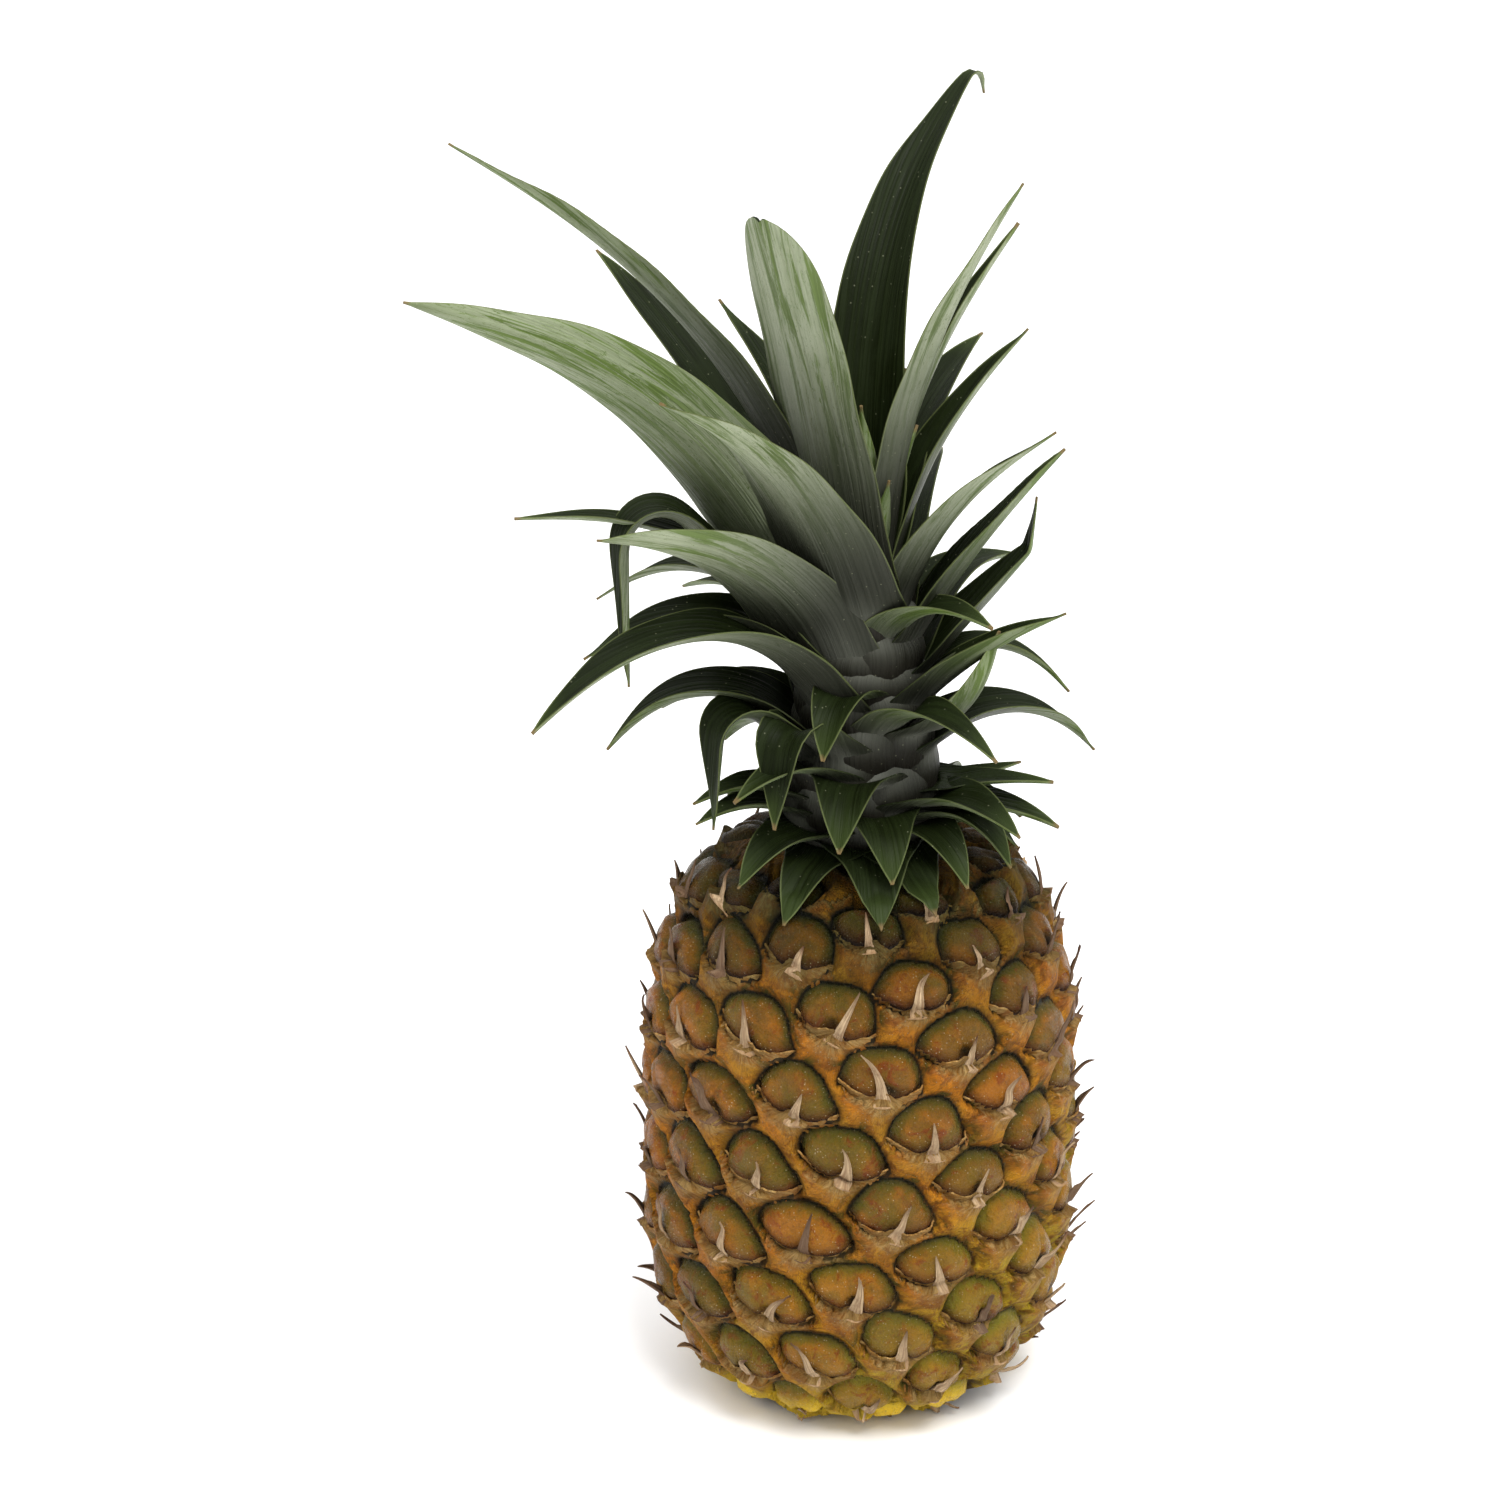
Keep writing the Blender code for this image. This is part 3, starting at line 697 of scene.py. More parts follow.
def buildRindMaterial():
    material, shader, place = newMaterial("pineappleRind", 0.45, 0.13)
    names = ("rimDistance", "marginDistance", "eyeAcross", "eyeUp", "eyeTint", "ripeness")
    rim, margin, x, y, tint, ripe = (readValue(shader, name) for name in names)
    lower = readValue(shader, "footShare")
    broad = speckle(place, 45.0, 3.0, 0.6)
    patches = speckle(place, 110.0, 4.0, 0.6, 1.2)
    medium = speckle(place, 190.0, 5.0, 0.68, 0.6)
    small = speckle(place, 700.0, 5.0, 0.75)
    specks = placeGroup(smallSpecks, Place=place, Scale=1500.0, Amount=0.22)
    fromSpine = minus(y, 1.5)
    away = calc("SQRT", plus(times(x, x), times(fromSpine, fromSpine)))
    around = dict(Across=calc("ARCTAN2", x, fromSpine), Along=away, Seed=tint)
    fibres = placeGroup(fibreStreaks, **around, Fineness=9.0, Length=0.22)
    fine = placeGroup(fibreStreaks, **around, Fineness=26.0, Length=0.5)
    fresh = calc("MAXIMUM", lower, ramp(ripe, 0.3, 0.95))
    upper = minus(1.0, times(fresh, 0.75))

    # the smooth face of an eye: brown and orange, with green patches and a dark green rim, and
    # painted shade low on it and in its pit
    warm = plus(patches, times(tint, 0.3))
    rimPlace = plus(rim, times(medium, 4.0))
    marginPlace = plus(margin, times(small, 2.6))
    face = layers(
        "faceBrown",
        ("faceRust", warm, 0.5, 0.8),
        ("faceGreen", broad, 0.48, 0.62, 0.6),
        ("faceRipe", ripe, 0.3, 1.0, 0.6),
        ("faceRed", medium, 0.53, 0.66, 0.7),
        ("faceStreak", fine["Streak"], 0.5, 1.0, 0.2),
        (mixColour(fresh, "rimGreen", "rimRipe"), rimPlace, 4.8, 2.8, 0.7),
        ("rimDark", rimPlace, 3.0, 1.8, 0.85, upper),
        # painted shade on the lower part of the face, under the overhanging bract margin
        ("faceShadeByMargin", marginPlace, 6.2, 1.5, 0.9),
    )
    # painted shade in the pit hollow beside the root of the spine
    face = layer(face, "pit", readValue(shader, "pitShade"), 0.9)

    # the bract under it: bright flesh below, red along its wings, papery round the spine
    wings = ramp(calc("ABSOLUTE", x), 4.0, 9.5)
    tail = ramp(rim, -4.5, -0.6)
    torn = plus(times(fibres["Broken"], 2.2), times(medium, 4.0))
    alongMargin = ramp(plus(margin, torn), -0.9, 2.4)
    roundSpine = ramp(minus(away, torn), 6.0, 0.6)
    paper = mixColour(fibres["Streak"], "paperDark", "paperPale")
    paper = layers(paper, ("paperBrown", medium, 0.48, 0.66, 0.7))
    flesh = layers(
        "fleshOrange",
        ("fleshAmber", broad, 0.38, 0.62),
        ("fleshRipe", ripe, 0.35, 1.0),
        ("fleshPatch", patches, 0.4, 0.58, 0.65),
        ("fleshRed", medium, 0.49, 0.64, 0.7),
        ("fleshStreak", fine["Streak"], 0.4, 0.9, 0.4),
        ("wingRed", margin, -6.0, -1.0, wings, 0.6),
        ("tailGreen", patches, 0.5, 0.62, tail, 0.8),
    )
    bract = layer(flesh, paper, calc("MAXIMUM", alongMargin, roundSpine), 0.92)

    # over both: a golden foot, brightened in part as painted light, dust, painted shade in the
    # grooves and in the crevice above each margin, a painted crown shadow over the top, and the dried
    # bracts of the foot
    onFace = ramp(margin, -0.12, 0.12)
    grooveShade = calc("ABSOLUTE", rim)
    grooveFloorPlace = plus(grooveShade, times(small, 1.2))
    foot = mixColour(ramp(medium, 0.4, 0.6), "footGold", "footOchre")
    footPlace = ramp(calc("ABSOLUTE", plus(rim, 1.5)), 8.0, 3.0)
    dried = ramp(readValue(shader, "driedShare"), 0.25, 0.75)
    skin = layers(
        mixColour(onFace, bract, face),
        # the foot's own ripe gold and yellow, brightened in part as painted light where the underside
        # turns from the lamps
        (foot, lower, 0.15, 0.7, footPlace, 0.9),
        ("footYellowLit", lower, 0.12, 0.7, 0.85),
        ("grime", small, 0.5, 0.7, 0.45),
    )
    skin = layer(skin, "dust", specks["Speck"], ramp(patches, 0.35, 0.65, 0.25, 0.8))
    skin = layers(
        skin,
        # painted shade along the grooves round each face, darkest in their narrow floor
        ("grooveShade", grooveShade, 1.8, 0.2, 0.6, upper),
        ("grooveFloorShade", grooveFloorPlace, 1.2, 0.6, 0.9, upper),
        # painted shade in the crevice between the face and the bract margin below it
        ("crevice", margin, 1.5, 0.1, 0.95, onFace),
    )
    # painted shadow of the crown, darkening the top of the fruit
    skin = mixColour(readValue(shader, "crownShade"), skin, "crownShadowTint", "MULTIPLY")
    skin = layer(skin, mixColour(small, "barkDark", "barkPale"), dried, 0.92)
    link(skin, shader.inputs["Base Color"])

    # faces are glossy and paper is dull, with its fibres raised
    glossy = ramp(small, 0.3, 0.7, 0.14, 0.42)
    paperRough = minus(0.75, times(glossy, 0.5))
    faceShare = calc("SUBTRACT", onFace, dried, clamp=True)
    roughSpan = times(faceShare, minus(glossy, paperRough))
    link(plus(paperRough, roughSpan), shader.inputs["Roughness"])
    streaks = plus(fibres["Streak"], fine["Streak"])
    height = times(streaks, ramp(margin, -0.12, 0.12, 0.8, 0.1))
    height = plus(height, times(medium, 1.2))
    addBump(shader, plus(height, times(small, 0.75)), 1.5)
    return material


rindMaterial = buildRindMaterial()


def buildRind():
    columns, rows = fruitShape["columns"], fruitShape["rows"]
    rind = addGrid("fruit_rind", columns, rows)
    across, share = sheetShares(rind)
    azimuth = (across + 1) * math.pi
    row = np.rint(share * rows).astype(int)
    pocket, deep = fruitShape["pocketRadius"], fruitShape["pocketHeight"]
    below = [(0, deep), (pocket / 2, deep), (pocket, deep), (pocket, deep / 2), (pocket, 1.0)]
    below += fruitShape["flatSpot"]
    socket = fruitShape["socketRadius"]
    floorOfSocket = profileHeight[-1] - fruitShape["socketDepth"]
    above = [(socket, floorOfSocket), (socket / 2, floorOfSocket), (0, floorOfSocket)]
    skinRows = rows + 1 - len(below) - len(above)
    places = np.linspace(0, skinEnd, skinRows)
    along = places[np.clip(row - len(below), 0, skinRows - 1)]
    rim, margin, x, y, eye = readSkin(azimuth, along)
    lift = skinLift(along, rim, margin, x, y, eye)
    points = skinPoint(azimuth, along, lift)
    onSkin = (row >= len(below)) & (row < len(below) + skinRows)
    wave = eyeRelief["lumps"] * (roughness(points, 8.0) + 0.45 * roughness(points, 3.0, 5.0))
    knobs = smoothStep(1 - np.abs(rim) / 4.5) * (0.6 + roughness(points, 2.6, 9.0))
    knobs *= eyeRelief["footKnobs"] * footShare(along)
    fade = smoothStep(along / 5.0) * smoothStep((skinEnd - along) / 6.0)
    points = skinPoint(azimuth, along, lift + (wave + knobs) * fade)
    flatRings = dict(enumerate(below))
    flatRings.update(enumerate(above, len(below) + skinRows))
    for number, (radius, height) in flatRings.items():
        ring = row == number
        points[ring] = polar(azimuth[ring], radius, height)
    points[:, 2] = np.maximum(points[:, 2], 0.0)
    placePoints(rind, points)
    rim = np.where(onSkin, rim, 4.0)
    margin = np.where(onSkin, margin, -8.0)
    skinValues(rind, azimuth, points, along, rim, margin, x, y, eye)
    mergeDoubles(rind, 0.02)
    shadeSmooth(rind)
    rind.data.materials.append(rindMaterial)
    return rind


rind = buildRind()
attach(rind, "root")
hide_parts("fruit")
print("rind:", len(rind.data.polygons), "faces on", eyeCount, "eyes")


# Bract margins and spines: thin dry sheets that follow the rind

dryParts = {
    "marginWide": 11.2,
    "marginTall": 4.2,
    "marginOver": 0.9,
    "marginLift": 1.1,
    "spineLength": 15.0,
    "spineHalf": 1.8,
    "spineFlare": 2.4,
    "spineRoot": 3.6,
    "spineSink": 1.5,
    "spineLift": 10.0,
    "spineGap": 0.7,
    "thickness": 0.45,
    "lowest": 3.0,
    "highest": 169.0,
    "floorGap": 0.3,
}


def eyeSpot(eye, x, y):
    # from a place in an eye's cell back to azimuth and place along the skin
    cosine, sine = math.cos(eyeTilt[eye]), math.sin(eyeTilt[eye])
    x, y = x * cosine - y * sine, x * sine + y * cosine
    across = x * eyeWide[eye]
    along = eyeAlong[eye] + y * eyeTall[eye] + eyeSlant[eye] * across
    return eyeTurn[eye] + across / radiusAt(along), along


def coveredLift(azimuth, along):
    rim, margin, x, y, eye = readSkin(azimuth, along)
    return skinLift(along, rim, margin, x, y, eye)


def placeOnSkin(sheet, azimuth, along, lift):
    points = skinPoint(azimuth, along, lift)
    points[:, 2] = np.maximum(points[:, 2], dryParts["floorGap"])
    placePoints(sheet, points)
    return points


def shapeMargin(sheet, shares, eye, draw):
    across, share = shares
    parts = dryParts
    count = len(across)
    x = parts["marginWide"] * across
    bow = np.clip(1 - across**2, 0, 1)
    phase = draw.uniform(0, 50)
    waves = roughness(np.c_[np.full(count, phase), across * 2.2, np.zeros(count)], 1.0)
    nicks = roughness(np.c_[np.full(count, phase), across * 9.0, np.full(count, 4.0)], 1.0)
    line = marginLine(x)
    low = line - parts["marginTall"] * bow**0.6 * draw.uniform(0.8, 1.2)
    high = line + (parts["marginOver"] + 0.8 * waves + 0.7 * nicks) * bow**0.5
    y = low + (high - low) * share
    azimuth, along = eyeSpot(eye, x, y)
    baseAzimuth, baseAlong = eyeSpot(eye, x, np.minimum(y, line - 0.7))
    base = coveredLift(baseAzimuth, baseAlong)
    rise = parts["marginLift"] * draw.uniform(0.5, 1.6)
    lift = base + 0.06 + rise * share**2.5 * bow**0.5 * (1 + 1.3 * waves)
    lift -= 0.4 * (1 - share) ** 2 + 0.8 * across**4
    points = placeOnSkin(sheet, azimuth, along, lift)
    margin = np.minimum(y - line, -0.2)
    skinValues(sheet, azimuth, points, along, np.full(count, -5.0), margin, x, y, np.full(count, eye))


def shapeSpine(sheet, shares, eye, draw):
    across, share = shares
    parts = dryParts
    ends = 0.7 + 0.3 * smoothStep((eyeAlong[eye] - 8) / 20)
    ends *= 1 - 0.3 * smoothStep((eyeAlong[eye] - 140) / 22)
    length = parts["spineLength"] * draw.uniform(0.72, 1.15) * ends
    lean = math.radians(draw.uniform(-16, 20))
    curl = math.radians(draw.choice([0, 0, 10, -14, 20, -30, 50, -55]))
    atSide = abs(math.sin(eyeTurn[eye])) ** 3
    rise = math.radians(parts["spineLift"] * draw.uniform(0.2, 1.8) + 16 * atSide)
    bend = math.radians(draw.uniform(-5, 30))
    steps = 40
    stations = np.linspace(0, 1, steps + 1)
    heading = lean + curl * stations**2
    pitch = rise * smoothStep(stations / 0.3) + bend * stations**2
    ahead = length / steps
    lineX = np.r_[0, np.cumsum(np.sin(heading) * np.cos(pitch) * ahead)[:-1]]
    lineY = np.r_[0, np.cumsum(np.cos(heading) * np.cos(pitch) * ahead)[:-1]]
    lineUp = np.r_[0, np.cumsum(np.sin(pitch) * ahead)[:-1]]
    lineX, lineY, lineUp = (np.interp(share, stations, line) for line in (lineX, lineY, lineUp))
    half = parts["spineHalf"] * (1 - share) ** 0.9 * draw.uniform(0.7, 1.1) + 0.12
    half += parts["spineFlare"] * np.exp(-share / 0.09)
    turned = np.interp(share, stations, heading)
    x = lineX + half * across * np.cos(turned)
    y = marginLine(0.0) - parts["spineRoot"] + lineY - half * across * np.sin(turned)
    x, y = x / eyeWide[eye], y / eyeTall[eye]
    azimuth, along = eyeSpot(eye, x, y)
    edgeAzimuth, edgeAlong = eyeSpot(eye, x, np.minimum(y, marginLine(0.0) - 0.8))
    base = coveredLift(edgeAzimuth, edgeAlong)
    under = coveredLift(azimuth, along)
    roof = 0.45 * half * (1 - across**2) * (1 - np.exp(-share / 0.12))
    twist = math.radians(draw.uniform(-25, 25)) * share
    lift = np.maximum(base + 0.5 + lineUp, under + parts["spineGap"])
    lift += roof + half * across * np.sin(twist) - parts["spineSink"] * np.exp(-share / 0.08)
    placeOnSkin(sheet, azimuth, along, lift)
    # spines towards the fruit's sides are darkened as painted shade; a few others are dark by chance
    dark = draw.uniform(0, 1) < 0.05 + 0.85 * atSide
    addValues(
        sheet,
        sheetAcross=across,
        sheetAlong=share,
        sheetTint=draw.uniform(0, 1),
        burnt=0.75 if dark else 0.0,
    )


def buildSpineMaterial():
    material, shader, place = newMaterial("drySpine", 0.75, 0.2)
    names = ("sheetAcross", "sheetAlong", "sheetTint")
    across, along, tint = (readValue(shader, name) for name in names)
    streaks = placeGroup(
        fibreStreaks, Across=across, Along=along, Seed=tint, Fineness=3.5, Length=1.6
    )
    grain = speckle(place, 500.0, 4.0, 0.7)
    colour = layers(
        mixColour(streaks["Streak"], "strawDark", "strawPale"),
        ("spineRoot", plus(along, times(grain, 0.3)), 0.4, 0.12, 0.75),
        ("spineTip", along, 0.6, 1.0, ramp(tint, 0.2, 0.9)),
        ("spineSpots", grain, 0.5, 0.72, 0.5),
    )
    # dark dried spines, and painted shade on those at the sides
    colour = layer(colour, "spineDarkAndShade", readValue(shader, "burnt"))
    link(colour, shader.inputs["Base Color"])
    addBump(shader, plus(streaks["Streak"], times(grain, 0.7)), 0.3)
    return material


def buildDryParts():
    marginSheet = addGrid("marginSheet", 24, 4)
    marginShares = sheetShares(marginSheet)
    marginSheet.data.materials.append(rindMaterial)
    spineSheet = addGrid("spineSheet", 4, 14)
    spineShares = sheetShares(spineSheet)
    spineSheet.data.materials.append(buildSpineMaterial())
    draw = random.Random(23)
    parts = []
    for eye in range(eyeCount):
        if not dryParts["lowest"] < eyeAlong[eye] < dryParts["highest"]:
            continue
        strip = copySheet(marginSheet, "marginStrip")
        shapeMargin(strip, marginShares, eye, draw)
        parts.append(strip)
        spine = copySheet(spineSheet, "spine")
        shapeSpine(spine, spineShares, eye, draw)
        parts.append(spine)
    for sheet in (marginSheet, spineSheet):
        bpy.data.objects.remove(sheet, do_unlink=True)
    bracts = joinPieces("bracts_and_spines", parts)
    wall = bracts.modifiers.new("wall", "SOLIDIFY")
    wall.thickness = dryParts["thickness"] * mm
    wall.offset = -1.0
    applyAll(bracts)
    shadeSmooth(bracts, 50)
    return bracts


bracts = buildDryParts()
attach(bracts, "root")
print("bracts and spines:", len(bracts.data.polygons), "faces")


# Crown leaves. Each row is azimuth and height of the root on the stem, length, width, rise at
# the root and at the tip, then what a leaf has of its own.

crownShape = {
    "stemRadius": 16.0,
    "stemTaper": 0.12,
    "rootSink": 4.0,
    "leafTurn": 137.5,
    "ruledLeaves": 66,
    "firstRuled": 40,
    "farSide": (134, 244),
    "heartLeaves": 7,
    "firstHeart": 26,
    "clearance": 2.6,
    "thickness": 1.5,
    "sheathLength": 17.0,
    "sheathBulge": 6.0,
    "sheathTuck": 2.8,
    "sheathHold": 17.0,
    "claspReach": 16.0,
    "claspSpread": 6.0,
    "lineSteps": 160,
    "lowLeaves": 30,
    "shortLeaf": 70.0,
}
frontLeaves = [
    (180, 62, 159, 26, 90, 42, dict(bend=(0.1, 1), drift=-50, fullness=2.2, tip=(0.93, -75))),
    (262, 58, 168, 26, 73, 30, dict(fullness=2.0, roll=-25, teeth=0.35, bloom=0.62)),
    (
        285, 50, 160, 34, 64, 18,
        dict(bend=(0.1, 1), cup=0.15, fullness=2.2, roll=-55, bloom=0.66, deep=0.4),
    ),
    (238, 60, 120, 36, 57, 43, dict(fullness=2.0, bloom=0.2)),
    (229, 62, 93, 24, 78, 43, {}),
    (312, 54, 125, 38, 80, 71, dict(cup=0.12, blunt=0.74, notch=0.9)),
    (330, 48, 127, 38, 70, 28, dict(drift=-10, cup=0.15, fullness=2.0)),
    (318, 40, 104, 30, 66, 11, dict(drift=-20, cup=0.15, fullness=2.0, roll=-40)),
    (277, 42, 106, 22, 65, 0, {}),
    (282, 42, 122, 24, 52, -90, dict(bend=(0.5, 0.72), fullness=2.4)),
    (261, 36, 92, 24, 75, -35, dict(drift=-25)),
    (251, 34, 60, 20, 75, -35, dict(drift=-20)),
    (277, 30, 86, 28, 75, -30, dict(fullness=2.0)),
    (310, 26, 114, 30, 70, -40, dict(drift=-22, fullness=2.0)),
    (274, 20, 74, 28, 65, -48, dict(drift=-10, fullness=2.0)),
    (295, 24, 66, 28, 40, -85, dict(bend=(0.4, 0.65))),
    (322, 24, 54, 28, 45, -80, dict(bend=(0.4, 0.65))),
    (285, 12, 38, 22, 40, -20, {}),
    (290, 8, 38, 24, 40, -20, {}),
    (325, 15, 46, 24, 60, -25, dict(drift=-20)),
    (318, 6, 40, 26, 30, -35, {}),
    (335, 3, 38, 26, 25, -50, dict(drift=-5)),
    (5, 3, 38, 30, 30, -60, {}),
    (10, 9, 36, 30, 50, -60, {}),
    (24, 3, 34, 26, 25, -55, {}),
    (38, 6, 38, 26, 45, -55, {}),
    (58, 5, 42, 28, 55, -55, {}),
    (350, 17, 38, 30, 55, -65, {}),
    (345, 32, 42, 28, 70, -65, dict(bend=(0.2, 0.9), drift=-10)),
    (52, 11, 43, 30, 40, -25, {}),
    (76, 12, 43, 26, 20, -20, {}),
    (80, 16, 41, 22, 20, 0, {}),
    (104, 16, 34, 18, 5, 15, {}),
    (86, 4, 34, 28, 40, -45, {}),
    (106, 7, 38, 28, 40, -45, {}),
    (25, 20, 62, 28, 80, -30, dict(drift=25)),
    (92, 23, 65, 28, 45, -45, dict(drift=30)),
    (100, 39, 59, 18, 55, -49, {}),
    (67, 32, 48, 28, 20, 80, dict(cup=0.3)),
    (68, 34, 61, 26, 50, 30, dict(cup=0.3)),
    (99, 42, 68, 26, 45, 50, dict(cup=0.25, tip=(0.76, 85))),
    (85, 46, 79, 26, 62, 50, dict(cup=0.25, teeth=0.35)),
    (65, 48, 88, 28, 78, 38, dict(teeth=0.4)),
    (110, 54, 95, 22, 85, 45, dict(cup=0.3)),
    (68, 56, 132, 24, 86, 60, dict(bend=(0.1, 1), cup=0.25)),
    (108, 60, 114, 20, 88, 56, dict(drift=-10, cup=0.3)),
    (40, 42, 57, 32, 80, -12, dict(bend=(0.1, 1), drift=10, cup=0.25)),
]


def ruledLeaves():
    # the leaves of the far side and the young ones of the heart, by the same spiral
    draw = random.Random(5)
    found = []
    count = crownShape["ruledLeaves"]
    for k in range(count):
        share = (k / (count - 1)) ** 1.3
        azimuth = (crownShape["firstRuled"] + crownShape["leafTurn"] * k) % 360
        if crownShape["farSide"][0] <= azimuth <= crownShape["farSide"][1]:
            length = 38 + 72 * share**0.9 * draw.uniform(0.85, 1.15)
            length *= 1 - 0.3 * max(0.0, share - 0.75) / 0.25
            end = -50 + 70 * share + draw.uniform(-5, 5)
            own = dict(drift=draw.uniform(-5, 5), fullness=1.8)
            width = draw.uniform(24, 28)
            found.append((azimuth, 3 + 66 * share, length, width, 35 + 50 * share, end, own))
    for k in range(crownShape["heartLeaves"]):
        azimuth = crownShape["firstHeart"] + crownShape["leafTurn"] * k
        found.append((azimuth, 56 + 2 * k, 50 + 2 * k, 20, 88, 74, dict(cup=0.3)))
    return found


def pushClear(points, gap):
    # moves points out of the fruit's top, away from a centre inside the fruit
    centreOut, centreUp = 12.0, 118.0
    out = np.hypot(points[:, 0], points[:, 1])
    angle = np.arctan2(points[:, 2] - centreUp, out - centreOut)
    angles = np.arctan2(profileHeight - centreUp, profileRadius - centreOut)
    reaches = np.hypot(profileHeight - centreUp, profileRadius - centreOut)
    needed = np.interp(angle, angles, reaches) + gap
    reach = np.hypot(points[:, 2] - centreUp, out - centreOut)
    inside = (reach < needed) & (out >= crownShape["stemRadius"])
    newOut = np.where(inside, centreOut + needed * np.cos(angle), out)
    newUp = np.where(inside, centreUp + needed * np.sin(angle), points[:, 2])
    scale = newOut / np.maximum(out, 1e-6)
    moved = np.c_[points[:, 0] * scale, points[:, 1] * scale, newUp]
    onStem = out < crownShape["stemRadius"]
    moved[onStem, 2] = np.maximum(moved[onStem, 2], profileHeight[-1] + gap)
    return moved


def leafLine(row):
    # centre line of a leaf, its side and its inner-face direction at even stations
    azimuth, height, length, _, rise, endRise, own = row
    bend = own.get("bend", (0.0, 1.0))
    tipFrom, tipRise = own.get("tip", (2.0, 0.0))
    count = crownShape["lineSteps"]
    share = np.linspace(0, 1, count + 1)
    lift = rise + (endRise - rise) * smoothStep((share - bend[0]) / (bend[1] - bend[0]))
    lift = lift + (tipRise - lift) * smoothStep((share - tipFrom) / 0.05)
    lift = np.radians(lift)
    turn = np.radians(azimuth + own.get("drift", 0.0) * share)
    out = polar(turn, 1.0, 0.0)
    up = np.array([0.0, 0.0, 1.0])
    ahead = np.cos(lift)[:, None] * out + np.sin(lift)[:, None] * up
    normal = np.cos(lift)[:, None] * up - np.sin(lift)[:, None] * out
    across = np.cross(ahead, normal)
    roll = np.radians(own.get("roll", 0.0)) * smoothStep(share / 0.35)
    side = across * np.cos(roll)[:, None] + normal * np.sin(roll)[:, None]
    over = normal * np.cos(roll)[:, None] - across * np.sin(roll)[:, None]
    start = crownShape["stemRadius"] - crownShape["stemTaper"] * height - crownShape["rootSink"]
    root = math.radians(azimuth)
    first = polar(root, start, fruitShape["height"] + height)
    steps = ahead * length / count
    line = first + np.concatenate([np.zeros((1, 3)), np.cumsum(steps, axis=0)[:-1]])
    return share, line, side, over


def shapeLeaf(sheet, shares, row, draw):
    # a leaf starts with a sheath that clasps the stem and bulges, then turns into its blade
    across, along = shares
    azimuth, height, length, width, _, _, own = row
    shape = crownShape
    sheath = min(shape["sheathLength"], max(2.0, height - 4.0))
    reach = along * (length + sheath) - sheath
    free = np.clip(reach / length, 0, 1)
    stations, line, side, over = leafLine(row)
    middle, sideWay, overWay = (
        np.stack([np.interp(free, stations, values) for values in found.T], axis=1)
        for found in (line, side, over)
    )
    root = math.radians(azimuth)
    swell = shape["sheathBulge"] * smoothStep((reach + sheath) / sheath)
    sheathOut = shape["stemRadius"] - shape["stemTaper"] * height + swell + 0.4 * np.maximum(reach, 0)
    sheathUp = fruitShape["height"] + height + 0.96 * reach
    tight = polar(root, sheathOut, sheathUp)
    hold = (1 - smoothStep(reach / shape["sheathHold"]))[:, None]
    middle = middle + (tight - middle) * hold
    short = length < shape["shortLeaf"]
    if own.get("blunt") is None:
        taper = (1 - free ** own.get("fullness", 1.25 if short else 1.6)) ** 0.9
    else:
        past = np.maximum(0.0, free - own["blunt"]) / (1 - own["blunt"])
        taper = (1 - 0.28 * free) * np.maximum(0.02, 1 - past**2.6) ** 0.45
    foot = 1.0 if short else 0.84
    spread = width * taper * (foot + (1 - foot) * smoothStep(free / 0.3))
    claspReach = shape["claspReach"] + 0.14 * length
    clasp = 1 - smoothStep(reach / claspReach)
    spread = spread + (1.25 * width + shape["claspSpread"] - spread) * clasp
    spread = np.maximum(spread, 0.6)
    phase = draw.uniform(0, 40)
    wave = np.sin(along * length / 9.0 + phase) + 0.6 * np.sin(along * length / 4.1 + 2 * phase)
    tooth = np.rint(along * len(np.unique(along))).astype(int) % 2
    tooth = tooth * own.get("teeth", 0.0) * smoothStep((free - 0.35) / 0.2) * (free < 0.97)
    cup = own.get("cup", 0.22)
    trough = cup * (1 + 0.8 * (1 - smoothStep(free / 0.25)))
    half = spread / 2 * np.cos(1.2 * trough)
    edge = spread * trough
    u = across
    ripple = smoothStep(free / 0.2)
    sideShift = half * u + (0.12 * wave * ripple + tooth) * np.abs(u) ** 3 * u
    overShift = edge * np.abs(u) ** 1.55 + 0.35 * wave * u * u * ripple
    points = middle + sideWay * sideShift[:, None] + overWay * overShift[:, None]
    if own.get("notch"):
        end = np.clip((free - 0.9) / 0.1, 0, 1) ** 2
        deep = own["notch"] * end * np.exp(-(((u + 0.15) / 0.22) ** 2))
        ahead = line[-1] - line[-2]
        points -= ahead / np.linalg.norm(ahead) * deep[:, None]
    out = np.hypot(middle[:, 0], middle[:, 1])
    turn = np.arctan2(middle[:, 0], -middle[:, 1]) - half * u / np.maximum(out, 9.0)
    closeness = 1 - smoothStep((reach - 4.0) / claspReach)
    out = out - shape["sheathTuck"] * u * u * closeness
    wrapped = polar(turn, out, middle[:, 2])
    points = points + (wrapped - points) * closeness[:, None]
    placePoints(sheet, pushClear(points, shape["clearance"]))
    return half, reach, free


# the length that each size of leaf stays under, then its columns and steps
leafSizes = {"short": (60, 14, 34), "middle": (100, 14, 58), "long": (300, 16, 92)}


def buildLeafGroup():
    # shared leaf surface: fine ribs along the blade, a soft mottle and rubbed patches
    inputs = dict(Side=0.0, Reach=0.0, Seed=0.0)
    patterns = {
        "Rib": (1.25, 0.02, 53.0, 2.0, 0.5, 0.0),
        "Mottle": (0.13, 0.04, 31.0, 5.0, 0.65, 0.5),
        "Rubbed": (0.42, 0.022, 17.0, 8.0, 0.74, 0.8),
        "Scratch": (0.8, 0.16, 23.0, 8.0, 0.85, 2.5),
    }
    group, given, out = newGroup("leafRibs", inputs, patterns)
    for label, (acrossScale, alongScale, shift, *pattern) in patterns.items():
        across, along = times(given["Side"], acrossScale), times(given["Reach"], alongScale)
        place = joinVector(across, along, times(given["Seed"], shift))
        link(speckle(place, 1.0, *pattern), out[label])
    return group


